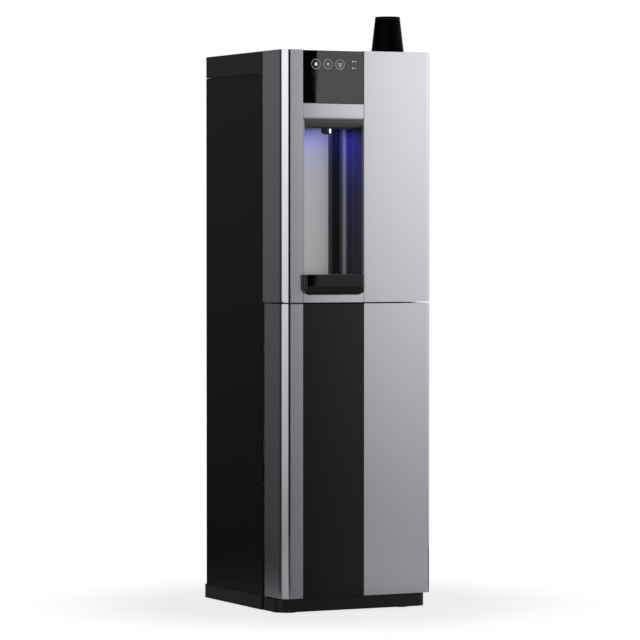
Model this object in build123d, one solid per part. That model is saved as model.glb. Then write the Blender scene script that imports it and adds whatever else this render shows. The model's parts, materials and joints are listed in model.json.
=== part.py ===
from build123d import *
import math
import os

# Floor-standing water dispenser, in millimetres. +X is the viewer's right, +Y runs to the back and
# +Z is up. The origin is on the floor, under the middle of the whole object.

# Cabinet
WIDTH = 370.0               # over the side panels
DEPTH = 402.0               # front face to the rear edge of the side panels
HEIGHT = 1245.0             # floor to the top, without the cup
FASCIA_DEPTH = 100.0        # how far the silver front wraps round the sides
SPLIT_HEIGHT = 687.0        # middle of the seam between the door and the upper front
SEAM = 3.0                  # gap above and below the door
CAP_HEIGHT = 48.5           # black top cover
SHEET = 2.0                 # steel side panels, rear panel and shelf
COVER_WALL = 2.5            # moulded top cover
SKIN = 3.0                  # moulded silver fronts
PANEL_GAP = 0.9             # seam between neighbouring fixed panels
FIT = 0.3                   # play between pieces that seat on each other
RUNNING = 0.06              # radial play of turning and screwed pieces
EDGE = 0.9                  # broken edges of the moulded fronts
POST = 18.0                 # square corner posts
POST_WALL = 1.5
REAR_RECESS = 22.0          # rear panel, in from the side panels' rear edges

# Plinth, deck and feet
FOOT_GAP = 4.0              # floor to the plinth
PLINTH_TOP = 35.5
PLINTH_WALL = 4.0
LEDGE = 2.5                 # rear plinth, proud of the side panels
KICK_INSET = 22.0           # front plinth, back from the front face
KICK_RADIUS = 20.0
DECK = 3.0
FOOT_INSET = 45.0
FOOT_RADIUS = 20.0
FOOT_PAD = 8.0
STUD_RADIUS = 5.0
STUD_LENGTH = 24.5
BOSS_WALL = 5.0             # welded nut round a foot's stud
BOSS_HEIGHT = 16.0

# Upper front
LEFT_COLUMN = 51.0          # width of the left column
MODULE_WIDTH = 150.0        # dispensing module between the columns
LEFT_RADIUS = 20.0
RIGHT_RADIUS = 12.0
GLASS = 3.0
GLASS_HEIGHT = 115.7
GLASS_DROP = 1.3            # glass top, below the columns' top
HOUSING_WALL = 2.5
BOARD = 1.6
TOUCH_BOARD_MARGIN = 16.0
HEAD_BAR = 34.0             # straight front of the dispense head
BELLY = 21.0                # rounded underside of the dispense head
BELLY_ROUND = 14.0          # lower edges of the head's belly
NICHE_DEPTH = 76.5          # front face to the niche's silver back
NICHE_RADIUS = 16.0
LINER = 2.5
LINER_SETBACK = 0.6
BACK_PLATE = 1.5
PLATE_MARGIN = 47.6         # niche's right wall to the silver back
NOZZLE_DEPTH = 34.0         # front face to the nozzle's axis
NOZZLE_RADIUS = 12.3
NOZZLE_DROP = 11.0
NOZZLE_TIP = 10.0
NOZZLE_STEM = 7.0
NOZZLE_STEM_LENGTH = 17.0
NOZZLE_BORE = 4.0
LAMP_WIDTH = 70.0
LAMP_LENGTH = 12.0
LAMP_BEHIND_NOZZLE = 17.5
LAMP_RECESS = 1.2           # lens, up from the head's underside
LAMP_FLANGE = 2.0

# Drip tray
TRAY_RISE = 61.5            # tray's top, above the bottom of the upper front
TRAY_PROUD = 14.5           # in front of the front face
TRAY_NOSE = 46.5            # height of the part in front of the front face
TRAY_BODY = 22.0            # height of the part in the niche
TRAY_REACH = 62.0           # front face to the tray's back
TRAY_WALL = 2.5
TRAY_RIM = 4.0
TRAY_SIDE = 0.8             # play beside the tray
TRAY_BACK_RADIUS = 16.0
NOSE_LEFT = 5.5             # upright front edges of the tray, seen from above
NOSE_RIGHT = 16.0
NOSE_CORNER = 22.0          # lower corners, seen from the front
NOSE_ROUND = 22.0           # lower front edge, seen from the side
BASIN_RADIUS = 5.0          # front corners of the basin
GRILLE = 3.0
GRILLE_LEDGE = 1.2
GRILLE_SLOT = 5.0
GRILLE_PITCH = 9.5
GRILLE_BORDER = 9.0
APRON_RETURN = 40.0

# Cup store
CUP_RIM_RADIUS = 38.5
CUP_BASE_RADIUS = 27.5
CUP_HEIGHT = 86.0
CUP_SHOW = 80.0             # how far the top cup stands out of the column
CUP_WALL = 0.6
CUP_RIM = 3.0
CUP_BEAD = 1.5
CUP_RECESS = 6.0
CUP_NEST = 8.0
CUP_COUNT = 8               # cups held in the tube, under the top one
CUP_TUBE_PLAY = 0.8
CUP_TUBE_WALL = 2.0
RETAINER = 4.0
FOLLOWER = 8.0
FOLLOWER_BOSS = 12.0
FOLLOWER_PLAY = 0.4
CUP_SPRING_RADIUS = 29.0
CUP_SPRING_WIRE = 1.2
CUP_SPRING_TURNS = 14

# Door
DOOR_DEPTH = 91.0
DOOR_BOTTOM = 36.0
DOOR_CORE_WALL = 3.0
HINGE_INSET = 12.0          # pivot, in from the door's right and rear faces
HINGE_PLATE = 2.0
HINGE_PLATE_HALF = 13.0
HINGE_PIN = 4.0
HINGE_PIN_LENGTH = 16.0     # in the door
BUSH_WALL = 2.0
BUSH_BOSS_WALL = 2.4
STRIKE = 1.5
CATCH_GAP = 0.5
CATCH_WIDTH = 13.0
CATCH_HEIGHT = 46.0
CATCH_INSET = 2.5

# Cold tank and valves
TANK_RADIUS = 70.0
TANK_HEIGHT = 250.0
TANK_WALL = 1.5
TANK_PORT_SPREAD = 40.0
PORT_RADIUS = 5.0
PORT_BORE = 3.0
PORT_PROUD = 12.0
INSULATION_WIDTH = 250.0
INSULATION_DEPTH = 212.0
INSULATION_FLOOR = 28.0
INSULATION_LID = 26.0
COIL_TURNS = 9
COIL_MARGIN = 14.0
PIPE_SLOT = 55.0
MANIFOLD_WIDTH = 106.0
MANIFOLD_DEPTH = 36.0
MANIFOLD_HEIGHT = 26.0
MANIFOLD_SETBACK = 30.0     # insulation's front to the manifold's ports
PORT_PITCH = 26.0
SOLENOID_RADIUS = 10.0
SOLENOID_LENGTH = 26.0
TUBE_RADIUS = 4.0
TUBE_BORE = 2.5
TUBE_ARCH = 45.0            # height of the tubes' arches over the ports
NOZZLE_LANE = 10.5          # back of the front module to the nozzle's rising tube
PIPE_RADIUS = 4.0
PIPE_BORE = 3.2
PIPE_LEAD = 26.0
BEND_LIMIT = 25.0           # largest bend of the tubes inside the cabinet
BEND_SHARE = 0.45
SHELF_HOLE = 2.0            # play round a pipe through the shelf

# Cooling machine
COMPRESSOR_X = -100.0
COMPRESSOR_BACK = 90.0      # rear panel to the compressor's axis
COMPRESSOR_RADIUS = 60.0
COMPRESSOR_HEIGHT = 165.0
COMPRESSOR_DOME = 28.0
COMPRESSOR_PLATE = 3.0
COMPRESSOR_PLATE_WIDTH = 128.0
COMPRESSOR_PLATE_DEPTH = 104.0
COMPRESSOR_PORT = 30.0      # pipe stubs, out from the axis
COMPRESSOR_STUB = 24.0
TERMINAL_BOX = 46.0
TERMINAL_PROUD = 14.0
MOUNT_INSET = 11.0
MOUNT_RADIUS = 9.0
MOUNT_HEIGHT = 14.0
BOLT_RADIUS = 3.0
BOLT_HEAD = 6.0
BOLT_HEAD_HEIGHT = 4.0
CONDENSER_LEFT = 0.0
CONDENSER_WIDTH = 140.0
CONDENSER_HEIGHT = 200.0
CONDENSER_DEPTH = 36.0
HEADER_RADIUS = 7.0
FLAT_TUBE = 2.5
FLAT_TUBE_PITCH = 24.0
FIN = 0.8
FIN_PITCH = 10.0
DRIER_RADIUS = 9.0
DRIER_LENGTH = 80.0
DRIER_HEIGHT = 40.0         # deck to the drier's axis
PIPE_LANE = 148.0           # x of the pipes beside the insulation
LIQUID_LANE = 215.0         # front face to the rising liquid pipe
SUCTION_CROSSING = 330.0    # height at which the suction pipe crosses the cabinet
FAN_RADIUS = 58.0
FAN_PLAY = 3.0
FAN_RING = 30.0
FAN_RING_WALL = 2.0
FAN_ARM = 4.0
FAN_ARM_WIDTH = 12.0
FAN_HUB = 17.0
FAN_HUB_LENGTH = 20.0
FAN_BLADES = 5
FAN_BLADE = 2.0
FAN_BLADE_CHORD = 24.0
FAN_BLADE_PITCH = 32.0
MOTOR_RADIUS = 24.0
MOTOR_LENGTH = 38.0
SHAFT_RADIUS = 3.0

# Water inlet, filter and electrics
FILTER_X = 110.0
FILTER_DEPTH = 150.0
FILTER_RADIUS = 42.0
FILTER_LENGTH = 300.0
FILTER_DOME = 16.0
FILTER_NECK = 18.0
FILTER_NECK_LENGTH = 18.0
FILTER_HEAD_WIDTH = 76.0
FILTER_HEAD_DEPTH = 50.0
FILTER_HEAD_HEIGHT = 38.0
FILTER_STANDOFF = 20.0
FILTER_PORT = 20.0
FILTER_SPIGOT = 8.0
BRACKET = 2.0
INLET_X = 130.0
INLET_HEIGHT = 420.0
INLET_BORE = 3.25
INLET_BORE_LENGTH = 15.0
INLET_FLANGE = 13.0
INLET_FLANGE_THICKNESS = 4.0
INLET_STEM = 8.0
INLET_STEM_LENGTH = 18.0
INLET_LANE = 245.0          # front face to the rising inlet tube
MAINS_X = -60.0
MAINS_HEIGHT = 420.0
MAINS_FLANGE = (50.0, 25.0, 3.0)
MAINS_BODY = (27.0, 20.0, 20.0)
MAINS_SOCKET = (24.0, 16.0, 17.0)
MAINS_PIN = (2.0, 4.0, 10.0)
MAINS_PIN_PITCH = 7.0
MAIN_BOARD_X = 70.0
MAIN_BOARD_RISE = 105.2     # tank's lid to the middle of the main board
MAIN_BOARD_WIDTH = 150.0
MAIN_BOARD_LENGTH = 90.0
STANDOFF_RADIUS = 4.0
STANDOFF_LENGTH = 10.0
STANDOFF_INSET = 8.0
SCREW_RADIUS = 1.7
SCREW_LENGTH = 9.0
SCREW_HEAD = 4.0
SCREW_HEAD_HEIGHT = 2.2
SCREW_ROWS = 5
SCREW_MARGIN = 60.0
LOUVRE_ROWS = 12
LOUVRE_PITCH = 14.0
LOUVRE = 5.0

# Planes and lanes that follow from the sizes above
FRONT = -(DEPTH + LEDGE - TRAY_PROUD) / 2
REAR = FRONT + DEPTH
LEFT = -WIDTH / 2
RIGHT = WIDTH / 2
FASCIA_BACK = FRONT + FASCIA_DEPTH
CABINET_FRONT = FASCIA_BACK + PANEL_GAP
REAR_OUTSIDE = REAR - REAR_RECESS
REAR_INSIDE = REAR_OUTSIDE - SHEET
COVER_BOTTOM = HEIGHT - CAP_HEIGHT
UPPER_BOTTOM = SPLIT_HEIGHT + SEAM / 2
SHELF_TOP = UPPER_BOTTOM + SHEET
DOOR_TOP = SPLIT_HEIGHT - SEAM / 2
DECK_TOP = DOOR_BOTTOM - SEAM
DECK_BOTTOM = DECK_TOP - DECK
POST_OUTER = RIGHT - COVER_WALL - FIT
POST_FRONT = CABINET_FRONT + COVER_WALL + FIT
POST_REAR = REAR_INSIDE - FIT - POST

SEAM_LEFT = LEFT + LEFT_COLUMN
SEAM_RIGHT = SEAM_LEFT + MODULE_WIDTH
MODULE_X = (SEAM_LEFT + PANEL_GAP / 2, SEAM_RIGHT - PANEL_GAP / 2)
MODULE_MIDDLE = (SEAM_LEFT + SEAM_RIGHT) / 2
LINER_X = (MODULE_X[0] + LINER, MODULE_X[1] - LINER)
GLASS_TOP = HEIGHT - GLASS_DROP
GLASS_BOTTOM = GLASS_TOP - GLASS_HEIGHT
BAR_TOP = GLASS_BOTTOM - PANEL_GAP
BAR_BOTTOM = BAR_TOP - HEAD_BAR
BELLY_BOTTOM = BAR_BOTTOM - BELLY
BELLY_BACK = FRONT + NICHE_DEPTH - FIT
LINER_TOP = BAR_BOTTOM - PANEL_GAP
NICHE_BACK = FRONT + NICHE_DEPTH + BACK_PLATE
TRAY_TOP = UPPER_BOTTOM + TRAY_RISE
NICHE_FLOOR = TRAY_TOP - TRAY_BODY - FIT
APRON_TOP = NICHE_FLOOR - LINER - FIT
TRAY_X = (LINER_X[0] + TRAY_SIDE, LINER_X[1] - TRAY_SIDE)
NOZZLE_Y = FRONT + NOZZLE_DEPTH
NOZZLE_TOP = BELLY_BOTTOM + NOZZLE_STEM_LENGTH
LAMP_Y = NOZZLE_Y + LAMP_BEHIND_NOZZLE

CUP_X = (SEAM_RIGHT + RIGHT) / 2
CUP_Y = FRONT + FASCIA_DEPTH / 2
CUP_BOTTOM = HEIGHT + CUP_SHOW - CUP_HEIGHT
CUP_TUBE_INNER = CUP_RIM_RADIUS + CUP_TUBE_PLAY
CUP_TUBE_OUTER = CUP_TUBE_INNER + CUP_TUBE_WALL
CUP_TUBE_FLOOR = SHELF_TOP + CUP_TUBE_WALL
FOLLOWER_TOP = CUP_BOTTOM - CUP_COUNT * CUP_NEST - FIT
FOLLOWER_BOTTOM = FOLLOWER_TOP - FOLLOWER
CUP_SPRING_SEAT = CUP_SPRING_WIRE + FIT
CUP_SPRING_Z = (CUP_TUBE_FLOOR + CUP_SPRING_SEAT, FOLLOWER_BOTTOM - CUP_SPRING_SEAT)

DOOR_BACK = FRONT + DOOR_DEPTH
HINGE_X = RIGHT - HINGE_INSET
HINGE_Y = DOOR_BACK - HINGE_INSET
BUSH_RADIUS = HINGE_PIN + RUNNING + BUSH_WALL
BOSS_RADIUS = BUSH_RADIUS + RUNNING + BUSH_BOSS_WALL
CATCH_X = (LEFT + COVER_WALL + CATCH_INSET, LEFT + COVER_WALL + CATCH_INSET + CATCH_WIDTH)
CATCH_MIDDLE = (DOOR_BOTTOM + DOOR_TOP) / 2

INSULATION_BACK = REAR_INSIDE - FIT
INSULATION_FRONT = INSULATION_BACK - INSULATION_DEPTH
TANK_Y = (INSULATION_FRONT + INSULATION_BACK) / 2
TANK_BOTTOM = SHELF_TOP + INSULATION_FLOOR
TANK_TOP = TANK_BOTTOM + TANK_HEIGHT
LID_BOTTOM = TANK_TOP + FIT
LID_TOP = LID_BOTTOM + INSULATION_LID
TANK_PORT_TOP = LID_TOP + PORT_PROUD
MAIN_BOARD_HEIGHT = LID_TOP + MAIN_BOARD_RISE
COIL_RADIUS = TANK_RADIUS + FIT + PIPE_RADIUS
COIL_Z = (TANK_BOTTOM + COIL_MARGIN, TANK_TOP - COIL_MARGIN)
INSULATION_BORE = COIL_RADIUS + PIPE_RADIUS + FIT
MANIFOLD_Y = INSULATION_FRONT + MANIFOLD_SETBACK
MANIFOLD_TOP = LID_TOP + MANIFOLD_HEIGHT
MANIFOLD_PORT_TOP = MANIFOLD_TOP + PORT_PROUD
MANIFOLD_PORTS = [MODULE_MIDDLE + PORT_PITCH * step for step in (-1, 0, 1, 2)]
ARCH_TOP = MANIFOLD_PORT_TOP + TUBE_ARCH
NOZZLE_TUBE_TOP = BAR_BOTTOM + HEAD_BAR / 2 + TUBE_RADIUS

COMPRESSOR_Y = REAR_INSIDE - COMPRESSOR_BACK
COMPRESSOR_BOTTOM = DECK_TOP + MOUNT_HEIGHT
CAN_BOTTOM = COMPRESSOR_BOTTOM + COMPRESSOR_PLATE
CAN_TOP = CAN_BOTTOM + COMPRESSOR_HEIGHT
STUB_TOP = CAN_TOP + COMPRESSOR_STUB
CONDENSER_X = (CONDENSER_LEFT, CONDENSER_LEFT + CONDENSER_WIDTH)
CONDENSER_Y = (REAR_INSIDE - FIT - CONDENSER_DEPTH, REAR_INSIDE - FIT)
CONDENSER_MIDDLE = sum(CONDENSER_Y) / 2
CONDENSER_TOP = DECK_TOP + CONDENSER_HEIGHT
HEADER_TOP = CONDENSER_TOP + PIPE_LEAD / 2
HEADERS = (CONDENSER_X[0] - HEADER_RADIUS, CONDENSER_X[1] + HEADER_RADIUS)
DRIER_Z = DECK_TOP + DRIER_HEIGHT
DRIER_BACK = CONDENSER_Y[0] - HEADER_RADIUS
SHROUD_Y = (CONDENSER_Y[0] - FIT - SHEET, CONDENSER_Y[0] - FIT)
FAN_X = sum(CONDENSER_X) / 2
FAN_Z = DECK_TOP + CONDENSER_HEIGHT / 2
FAN_RING_FRONT = SHROUD_Y[0] - FAN_RING
MOTOR_BACK = FAN_RING_FRONT - FAN_ARM
HUB_FRONT = FAN_RING_FRONT + (FAN_RING - FAN_HUB_LENGTH) / 2
HUB_BACK = HUB_FRONT + FAN_HUB_LENGTH

FILTER_Y = FRONT + FILTER_DEPTH
FILTER_HEAD_TOP = UPPER_BOTTOM - FILTER_STANDOFF
FILTER_HEAD_BOTTOM = FILTER_HEAD_TOP - FILTER_HEAD_HEIGHT
FILTER_HEAD_BACK = FILTER_Y + FILTER_HEAD_DEPTH / 2
FILTER_HEAD_MIDDLE = (FILTER_HEAD_TOP + FILTER_HEAD_BOTTOM) / 2
INLET_INNER = REAR_INSIDE - INLET_STEM_LENGTH
BOARD_BACK = REAR_INSIDE - STANDOFF_LENGTH
SCREW_X = POST_OUTER - POST / 2
SCREW_PITCH = (COVER_BOTTOM - DECK_TOP - 2 * SCREW_MARGIN) / (SCREW_ROWS - 1)
SCREW_HEIGHTS = [DECK_TOP + SCREW_MARGIN + row * SCREW_PITCH for row in range(SCREW_ROWS)]


def block(x, y, z):
    """A box between two limits on each axis."""
    sizes = [abs(high - low) for low, high in (x, y, z)]
    middle = [(low + high) / 2 for low, high in (x, y, z)]
    return Pos(*middle) * Box(*sizes)


def about(middle, size):
    """The two limits of a size centred on a place."""
    return (middle - size / 2, middle + size / 2)


def pole(x, y, z, radius):
    """An upright cylinder between two heights."""
    return Pos(x, y, sum(z) / 2) * Cylinder(radius, z[1] - z[0])


def axle(x, y, z, radius):
    """A cylinder along Y between two depths."""
    return Pos(x, sum(y) / 2, z) * Rot(90, 0, 0) * Cylinder(radius, y[1] - y[0])


def ring(x, y, z, outer, inner):
    """An upright round sleeve."""
    return pole(x, y, z, outer) - pole(x, y, z, inner)


def rounded_block(x, y, z, corners, radius):
    """A box whose upright edges at the given x, y corners are rounded."""
    shape = block(x, y, z)
    uprights = shape.edges().filter_by(Axis.Z)
    chosen = [edge for edge in uprights for corner in corners
              if math.dist((edge.center().X, edge.center().Y), corner) < FIT]
    return fillet(chosen, radius)


def group(shapes):
    """Separate solids of one node."""
    return Compound([solid for shape in shapes for solid in shape.solids()])


def tube(points, outer, bore):
    """A round tube on straight runs, with bends as large as its runs and the cabinet allow."""
    places = [Vector(*point) for point in points]
    radii = []
    for before, here, after in zip(places, places[1:], places[2:]):
        arriving = here - before
        leaving = after - here
        half_turn = math.radians(arriving.get_angle(leaving)) / 2
        room = BEND_SHARE * min(arriving.length, leaving.length) / math.tan(half_turn)
        radii.append(min(BEND_LIMIT, room))
    path = FilletPolyline(*places, radius=radii)
    section = Plane(origin=places[0], z_dir=places[1] - places[0]) * (Circle(outer) - Circle(bore))
    return sweep(section, path=path)


def helix_point(x, y, z, radius, turns, angle):
    """A point on a helix about an upright axis."""
    height = z[0] + (z[1] - z[0]) * angle / (2 * math.pi * turns)
    return Vector(x + radius * math.cos(angle), y + radius * math.sin(angle), height)


def helix_heading(z, radius, turns, angle):
    """The unit direction in which the helix runs at an angle."""
    rise = (z[1] - z[0]) / (2 * math.pi * turns)
    return Vector(-radius * math.sin(angle), radius * math.cos(angle), rise).normalized()


def least_gap(name, z, radius, turns, outer):
    """Print the least gap between the turns of a winding, measured on points of its helix."""
    steps = 72
    angles = [2 * math.pi * step / steps for step in range(steps * turns + 1)]
    points = [helix_point(0, 0, z, radius, turns, angle) for angle in angles]
    apart = steps // 2
    nearest = min((points[there] - points[here]).length for here in range(0, len(points), apart)
                  for there in range(here + apart, len(points)))
    print(f"{name}: least gap between turns {nearest - 2 * outer:.2f} mm")


def winding(x, y, z, radius, turns, outer, bore):
    """A wound wire or tube: each half turn is two arcs that share a tangent where they meet."""
    arcs = []
    for half in range(2 * turns):
        start_angle = half * math.pi
        end_angle = start_angle + math.pi
        start = helix_point(x, y, z, radius, turns, start_angle)
        end = helix_point(x, y, z, radius, turns, end_angle)
        leaving = helix_heading(z, radius, turns, start_angle)
        arriving = helix_heading(z, radius, turns, end_angle)
        chord = end - start
        along = chord.dot(leaving + arriving)
        spread = 2 * (1 - leaving.dot(arriving))
        reach = (math.sqrt(along ** 2 + spread * chord.dot(chord)) - along) / spread
        first = start + leaving * reach
        second = end - arriving * reach
        middle = (first + second) / 2
        arcs.append(TangentArc(start, middle, tangent=leaving))
        arcs.append(TangentArc(middle, end, tangent=second - first))
    section = Circle(outer) - Circle(bore) if bore else Circle(outer)
    place = Plane(origin=helix_point(x, y, z, radius, turns, 0), z_dir=helix_heading(z, radius, turns, 0))
    return sweep(place * section, path=Wire([arc.edge() for arc in arcs]))


def plinth_kick():
    """The front plinth: a low skirt with round corners, set back under the door."""
    z = (FOOT_GAP, DECK_TOP)
    front = FRONT + KICK_INSET
    corners = [(LEFT, front), (RIGHT, front)]
    outside = rounded_block((LEFT, RIGHT), (front, FASCIA_BACK), z, corners, KICK_RADIUS)
    x = (LEFT + PLINTH_WALL, RIGHT - PLINTH_WALL)
    inner_front = front + PLINTH_WALL
    corners = [(x[0], inner_front), (x[1], inner_front)]
    inside = rounded_block(x, (inner_front, FASCIA_BACK + PLINTH_WALL), z, corners, KICK_RADIUS - PLINTH_WALL)
    return outside - inside


def plinth_rear():
    """The rear plinth: a skirt on three sides that the side panels stand on."""
    z = (FOOT_GAP, PLINTH_TOP)
    outside = block((LEFT - LEDGE, RIGHT + LEDGE), (CABINET_FRONT, REAR + LEDGE), z)
    inside = block((LEFT + PLINTH_WALL, RIGHT - PLINTH_WALL),
                   (CABINET_FRONT - PLINTH_WALL, REAR - PLINTH_WALL), z)
    rebate = block((LEFT + SHEET, RIGHT - SHEET), (CABINET_FRONT - PLINTH_WALL, REAR - PLINTH_WALL),
                   (DECK_TOP, PLINTH_TOP))
    return outside - inside - rebate


def foot_places():
    """The x, y of each levelling foot, by name."""
    x = RIGHT - FOOT_INSET
    front = FRONT + KICK_INSET + FOOT_INSET
    rear = REAR - FOOT_INSET
    return {"front_left": (-x, front), "front_right": (x, front),
            "rear_left": (-x, rear), "rear_right": (x, rear)}


def mount_places():
    """The x, y of the compressor's rubber mounts."""
    x = COMPRESSOR_PLATE_WIDTH / 2 - MOUNT_INSET
    y = COMPRESSOR_PLATE_DEPTH / 2 - MOUNT_INSET
    return [(COMPRESSOR_X + side * x, COMPRESSOR_Y + end * y) for side in (-1, 1) for end in (-1, 1)]


def base_deck():
    """The floor plate, with a welded nut for each foot and holes for bolts and the lower hinge pin."""
    front = FRONT + KICK_INSET + PLINTH_WALL + FIT
    x = (LEFT + PLINTH_WALL + FIT, RIGHT - PLINTH_WALL - FIT)
    corners = [(x[0], front), (x[1], front)]
    plate = rounded_block(x, (front, REAR - PLINTH_WALL - FIT), (DECK_BOTTOM, DECK_TOP), corners,
                          KICK_RADIUS - PLINTH_WALL)
    for place in foot_places().values():
        plate += pole(*place, (DECK_BOTTOM - BOSS_HEIGHT, DECK_BOTTOM), STUD_RADIUS + BOSS_WALL)
        plate -= pole(*place, (DECK_BOTTOM - BOSS_HEIGHT, DECK_TOP), STUD_RADIUS + RUNNING)
    for place in mount_places():
        plate -= pole(*place, (DECK_BOTTOM, DECK_TOP), BOLT_RADIUS + RUNNING)
    return plate - pole(HINGE_X, HINGE_Y, (DECK_BOTTOM, DECK_TOP), HINGE_PIN + RUNNING)


def levelling_foot(place):
    """A round pad on a threaded stud."""
    pad = pole(*place, (0, FOOT_PAD), FOOT_RADIUS)
    pad = chamfer(pad.edges().sort_by(Axis.Z)[-1], FOOT_PAD / 3)
    return pad + pole(*place, (FOOT_PAD, FOOT_PAD + STUD_LENGTH), STUD_RADIUS)


def post_limits(margin=0.0):
    """The x and y limits of the four corner posts, grown by a margin."""
    right = (POST_OUTER - POST - margin, POST_OUTER + margin)
    left = (-right[1], -right[0])
    front = (POST_FRONT - margin, POST_FRONT + POST + margin)
    rear = (POST_REAR - margin, POST_REAR + POST + margin)
    return [(x, y) for x in (left, right) for y in (front, rear)]


def screw_places():
    """The x, z of the screws that hold the rear panel to the rear posts."""
    return [(side * SCREW_X, z) for side in (-1, 1) for z in SCREW_HEIGHTS]


def frame_posts():
    """Four square tubes from the deck to the top cover, drilled for the rear panel's screws."""
    z = (DECK_TOP, HEIGHT - COVER_WALL - FIT)
    posts = []
    for x, y in post_limits():
        bore_x = (x[0] + POST_WALL, x[1] - POST_WALL)
        bore_y = (y[0] + POST_WALL, y[1] - POST_WALL)
        post = block(x, y, z) - block(bore_x, bore_y, z)
        if y[0] > TANK_Y:
            for screw_x, screw_z in screw_places():
                post -= axle(screw_x, (y[1] - POST_WALL - FIT, y[1] + FIT), screw_z, SCREW_RADIUS + RUNNING)
        posts.append(post)
    return group(posts)


def side_panel(x):
    """A flat steel side."""
    return block(x, (CABINET_FRONT, REAR), (PLINTH_TOP, COVER_BOTTOM - PANEL_GAP))


def rear_panel():
    """The recessed steel back: vents behind the condenser, and holes for the inlets and screws."""
    y = (REAR_INSIDE, REAR_OUTSIDE)
    x = RIGHT - COVER_WALL - FIT
    panel = block((-x, x), y, (DECK_TOP, HEIGHT - COVER_WALL - FIT))
    lowest = FAN_Z - (LOUVRE_ROWS - 1) * LOUVRE_PITCH / 2
    for row in range(LOUVRE_ROWS):
        panel -= block(CONDENSER_X, y, about(lowest + row * LOUVRE_PITCH, LOUVRE))
    panel -= axle(INLET_X, y, INLET_HEIGHT, INLET_STEM + RUNNING)
    panel -= block(about(MAINS_X, MAINS_BODY[0] + 2 * FIT), y, about(MAINS_HEIGHT, MAINS_BODY[1] + 2 * FIT))
    for screw_x, screw_z in screw_places():
        panel -= axle(screw_x, y, screw_z, SCREW_RADIUS + RUNNING)
    return panel


def rear_panel_screws():
    """Round-head screws through the rear panel."""
    screws = []
    for x, z in screw_places():
        head = axle(x, (REAR_OUTSIDE, REAR_OUTSIDE + SCREW_HEAD_HEIGHT), z, SCREW_HEAD)
        screws.append(head + axle(x, (REAR_OUTSIDE - SCREW_LENGTH, REAR_OUTSIDE), z, SCREW_RADIUS))
    return group(screws)


def top_cover():
    """The black top: a shallow lid, open below, that sits on the posts."""
    cover = block((LEFT, RIGHT), (CABINET_FRONT, REAR), (COVER_BOTTOM, HEIGHT))
    cover = fillet(cover.faces().sort_by(Axis.Z)[-1].edges(), EDGE)
    inside = block((LEFT + COVER_WALL, RIGHT - COVER_WALL), (CABINET_FRONT + COVER_WALL, REAR - COVER_WALL),
                   (COVER_BOTTOM - COVER_WALL, HEIGHT - COVER_WALL))
    return cover - inside


def shelf_lanes():
    """The x, y of the pipes that pass through the shelf."""
    return [(FILTER_X - FILTER_PORT, FILTER_Y), (PIPE_LANE, FRONT + LIQUID_LANE),
            (PIPE_LANE, TANK_Y + PIPE_LEAD)]


def mid_shelf():
    """The steel shelf between the two halves, notched round the posts, under the upper front too."""
    x = (LEFT + SKIN + FIT, RIGHT - SKIN - FIT)
    front = FRONT + SKIN + FIT
    z = (UPPER_BOTTOM, SHELF_TOP)
    corners = [(x[0], front), (x[1], front)]
    shelf = rounded_block(x, (front, REAR_INSIDE - FIT), z, corners, LEFT_RADIUS - SKIN)
    for post_x, post_y in post_limits(FIT):
        shelf -= block(post_x, post_y, z)
    for lane in shelf_lanes():
        shelf -= pole(*lane, z, PIPE_RADIUS + SHELF_HOLE)
    return shelf - pole(HINGE_X, HINGE_Y, z, HINGE_PIN + RUNNING)


def column(outer_x, inner_x, radius):
    """A silver upper column: front, two sides and top, open behind, standing over the shelf's edge."""
    inward = math.copysign(1, inner_x - outer_x)
    y = (FRONT, FASCIA_BACK)
    z = (UPPER_BOTTOM, HEIGHT)
    shell = rounded_block((outer_x, inner_x), y, z, [(outer_x, FRONT)], radius)
    seam_edge = [edge for edge in shell.edges().filter_by(Axis.Z)
                 if math.dist((edge.center().X, edge.center().Y), (inner_x, FRONT)) < FIT]
    shell = fillet(seam_edge, EDGE)
    shell = fillet(shell.faces().sort_by(Axis.Z)[-1].edges(), EDGE)
    wall_x = (outer_x + inward * SKIN, inner_x - inward * SKIN)
    corner = (wall_x[0], FRONT + SKIN)
    inside = rounded_block(wall_x, (FRONT + SKIN, FASCIA_BACK + SKIN), (UPPER_BOTTOM - SKIN, HEIGHT - SKIN),
                           [corner], radius - SKIN)
    over_shelf = block((wall_x[0], inner_x + inward), (FRONT + SKIN, FASCIA_BACK + SKIN),
                       (UPPER_BOTTOM - SKIN, SHELF_TOP + FIT))
    return shell - inside - over_shelf


def column_right():
    """The wide right column, with a round mouth for the cup tube in its top."""
    shell = column(RIGHT, SEAM_RIGHT + PANEL_GAP / 2, RIGHT_RADIUS)
    return shell - pole(CUP_X, CUP_Y, (HEIGHT - 2 * SKIN, HEIGHT + SKIN), CUP_TUBE_OUTER + FIT)


def control_glass():
    """The flat front glass with the touch marks behind it."""
    glass = block(MODULE_X, (FRONT, FRONT + GLASS), (GLASS_BOTTOM, GLASS_TOP))
    return chamfer(glass.faces().sort_by(Axis.Y)[0].edges(), EDGE / 3)


def control_housing():
    """The box behind the glass, open at the front and the back."""
    y = (FRONT + GLASS, FASCIA_BACK)
    outside = block(MODULE_X, y, (GLASS_BOTTOM, GLASS_TOP))
    inside = block((MODULE_X[0] + HOUSING_WALL, MODULE_X[1] - HOUSING_WALL), y,
                   (GLASS_BOTTOM + HOUSING_WALL, GLASS_TOP - HOUSING_WALL))
    return outside - inside


def touch_board():
    """The touch electronics on the back of the glass."""
    x = (MODULE_X[0] + TOUCH_BOARD_MARGIN, MODULE_X[1] - TOUCH_BOARD_MARGIN)
    z = (GLASS_BOTTOM + TOUCH_BOARD_MARGIN, GLASS_TOP - TOUCH_BOARD_MARGIN)
    return block(x, (FRONT + GLASS, FRONT + GLASS + BOARD), z)


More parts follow.
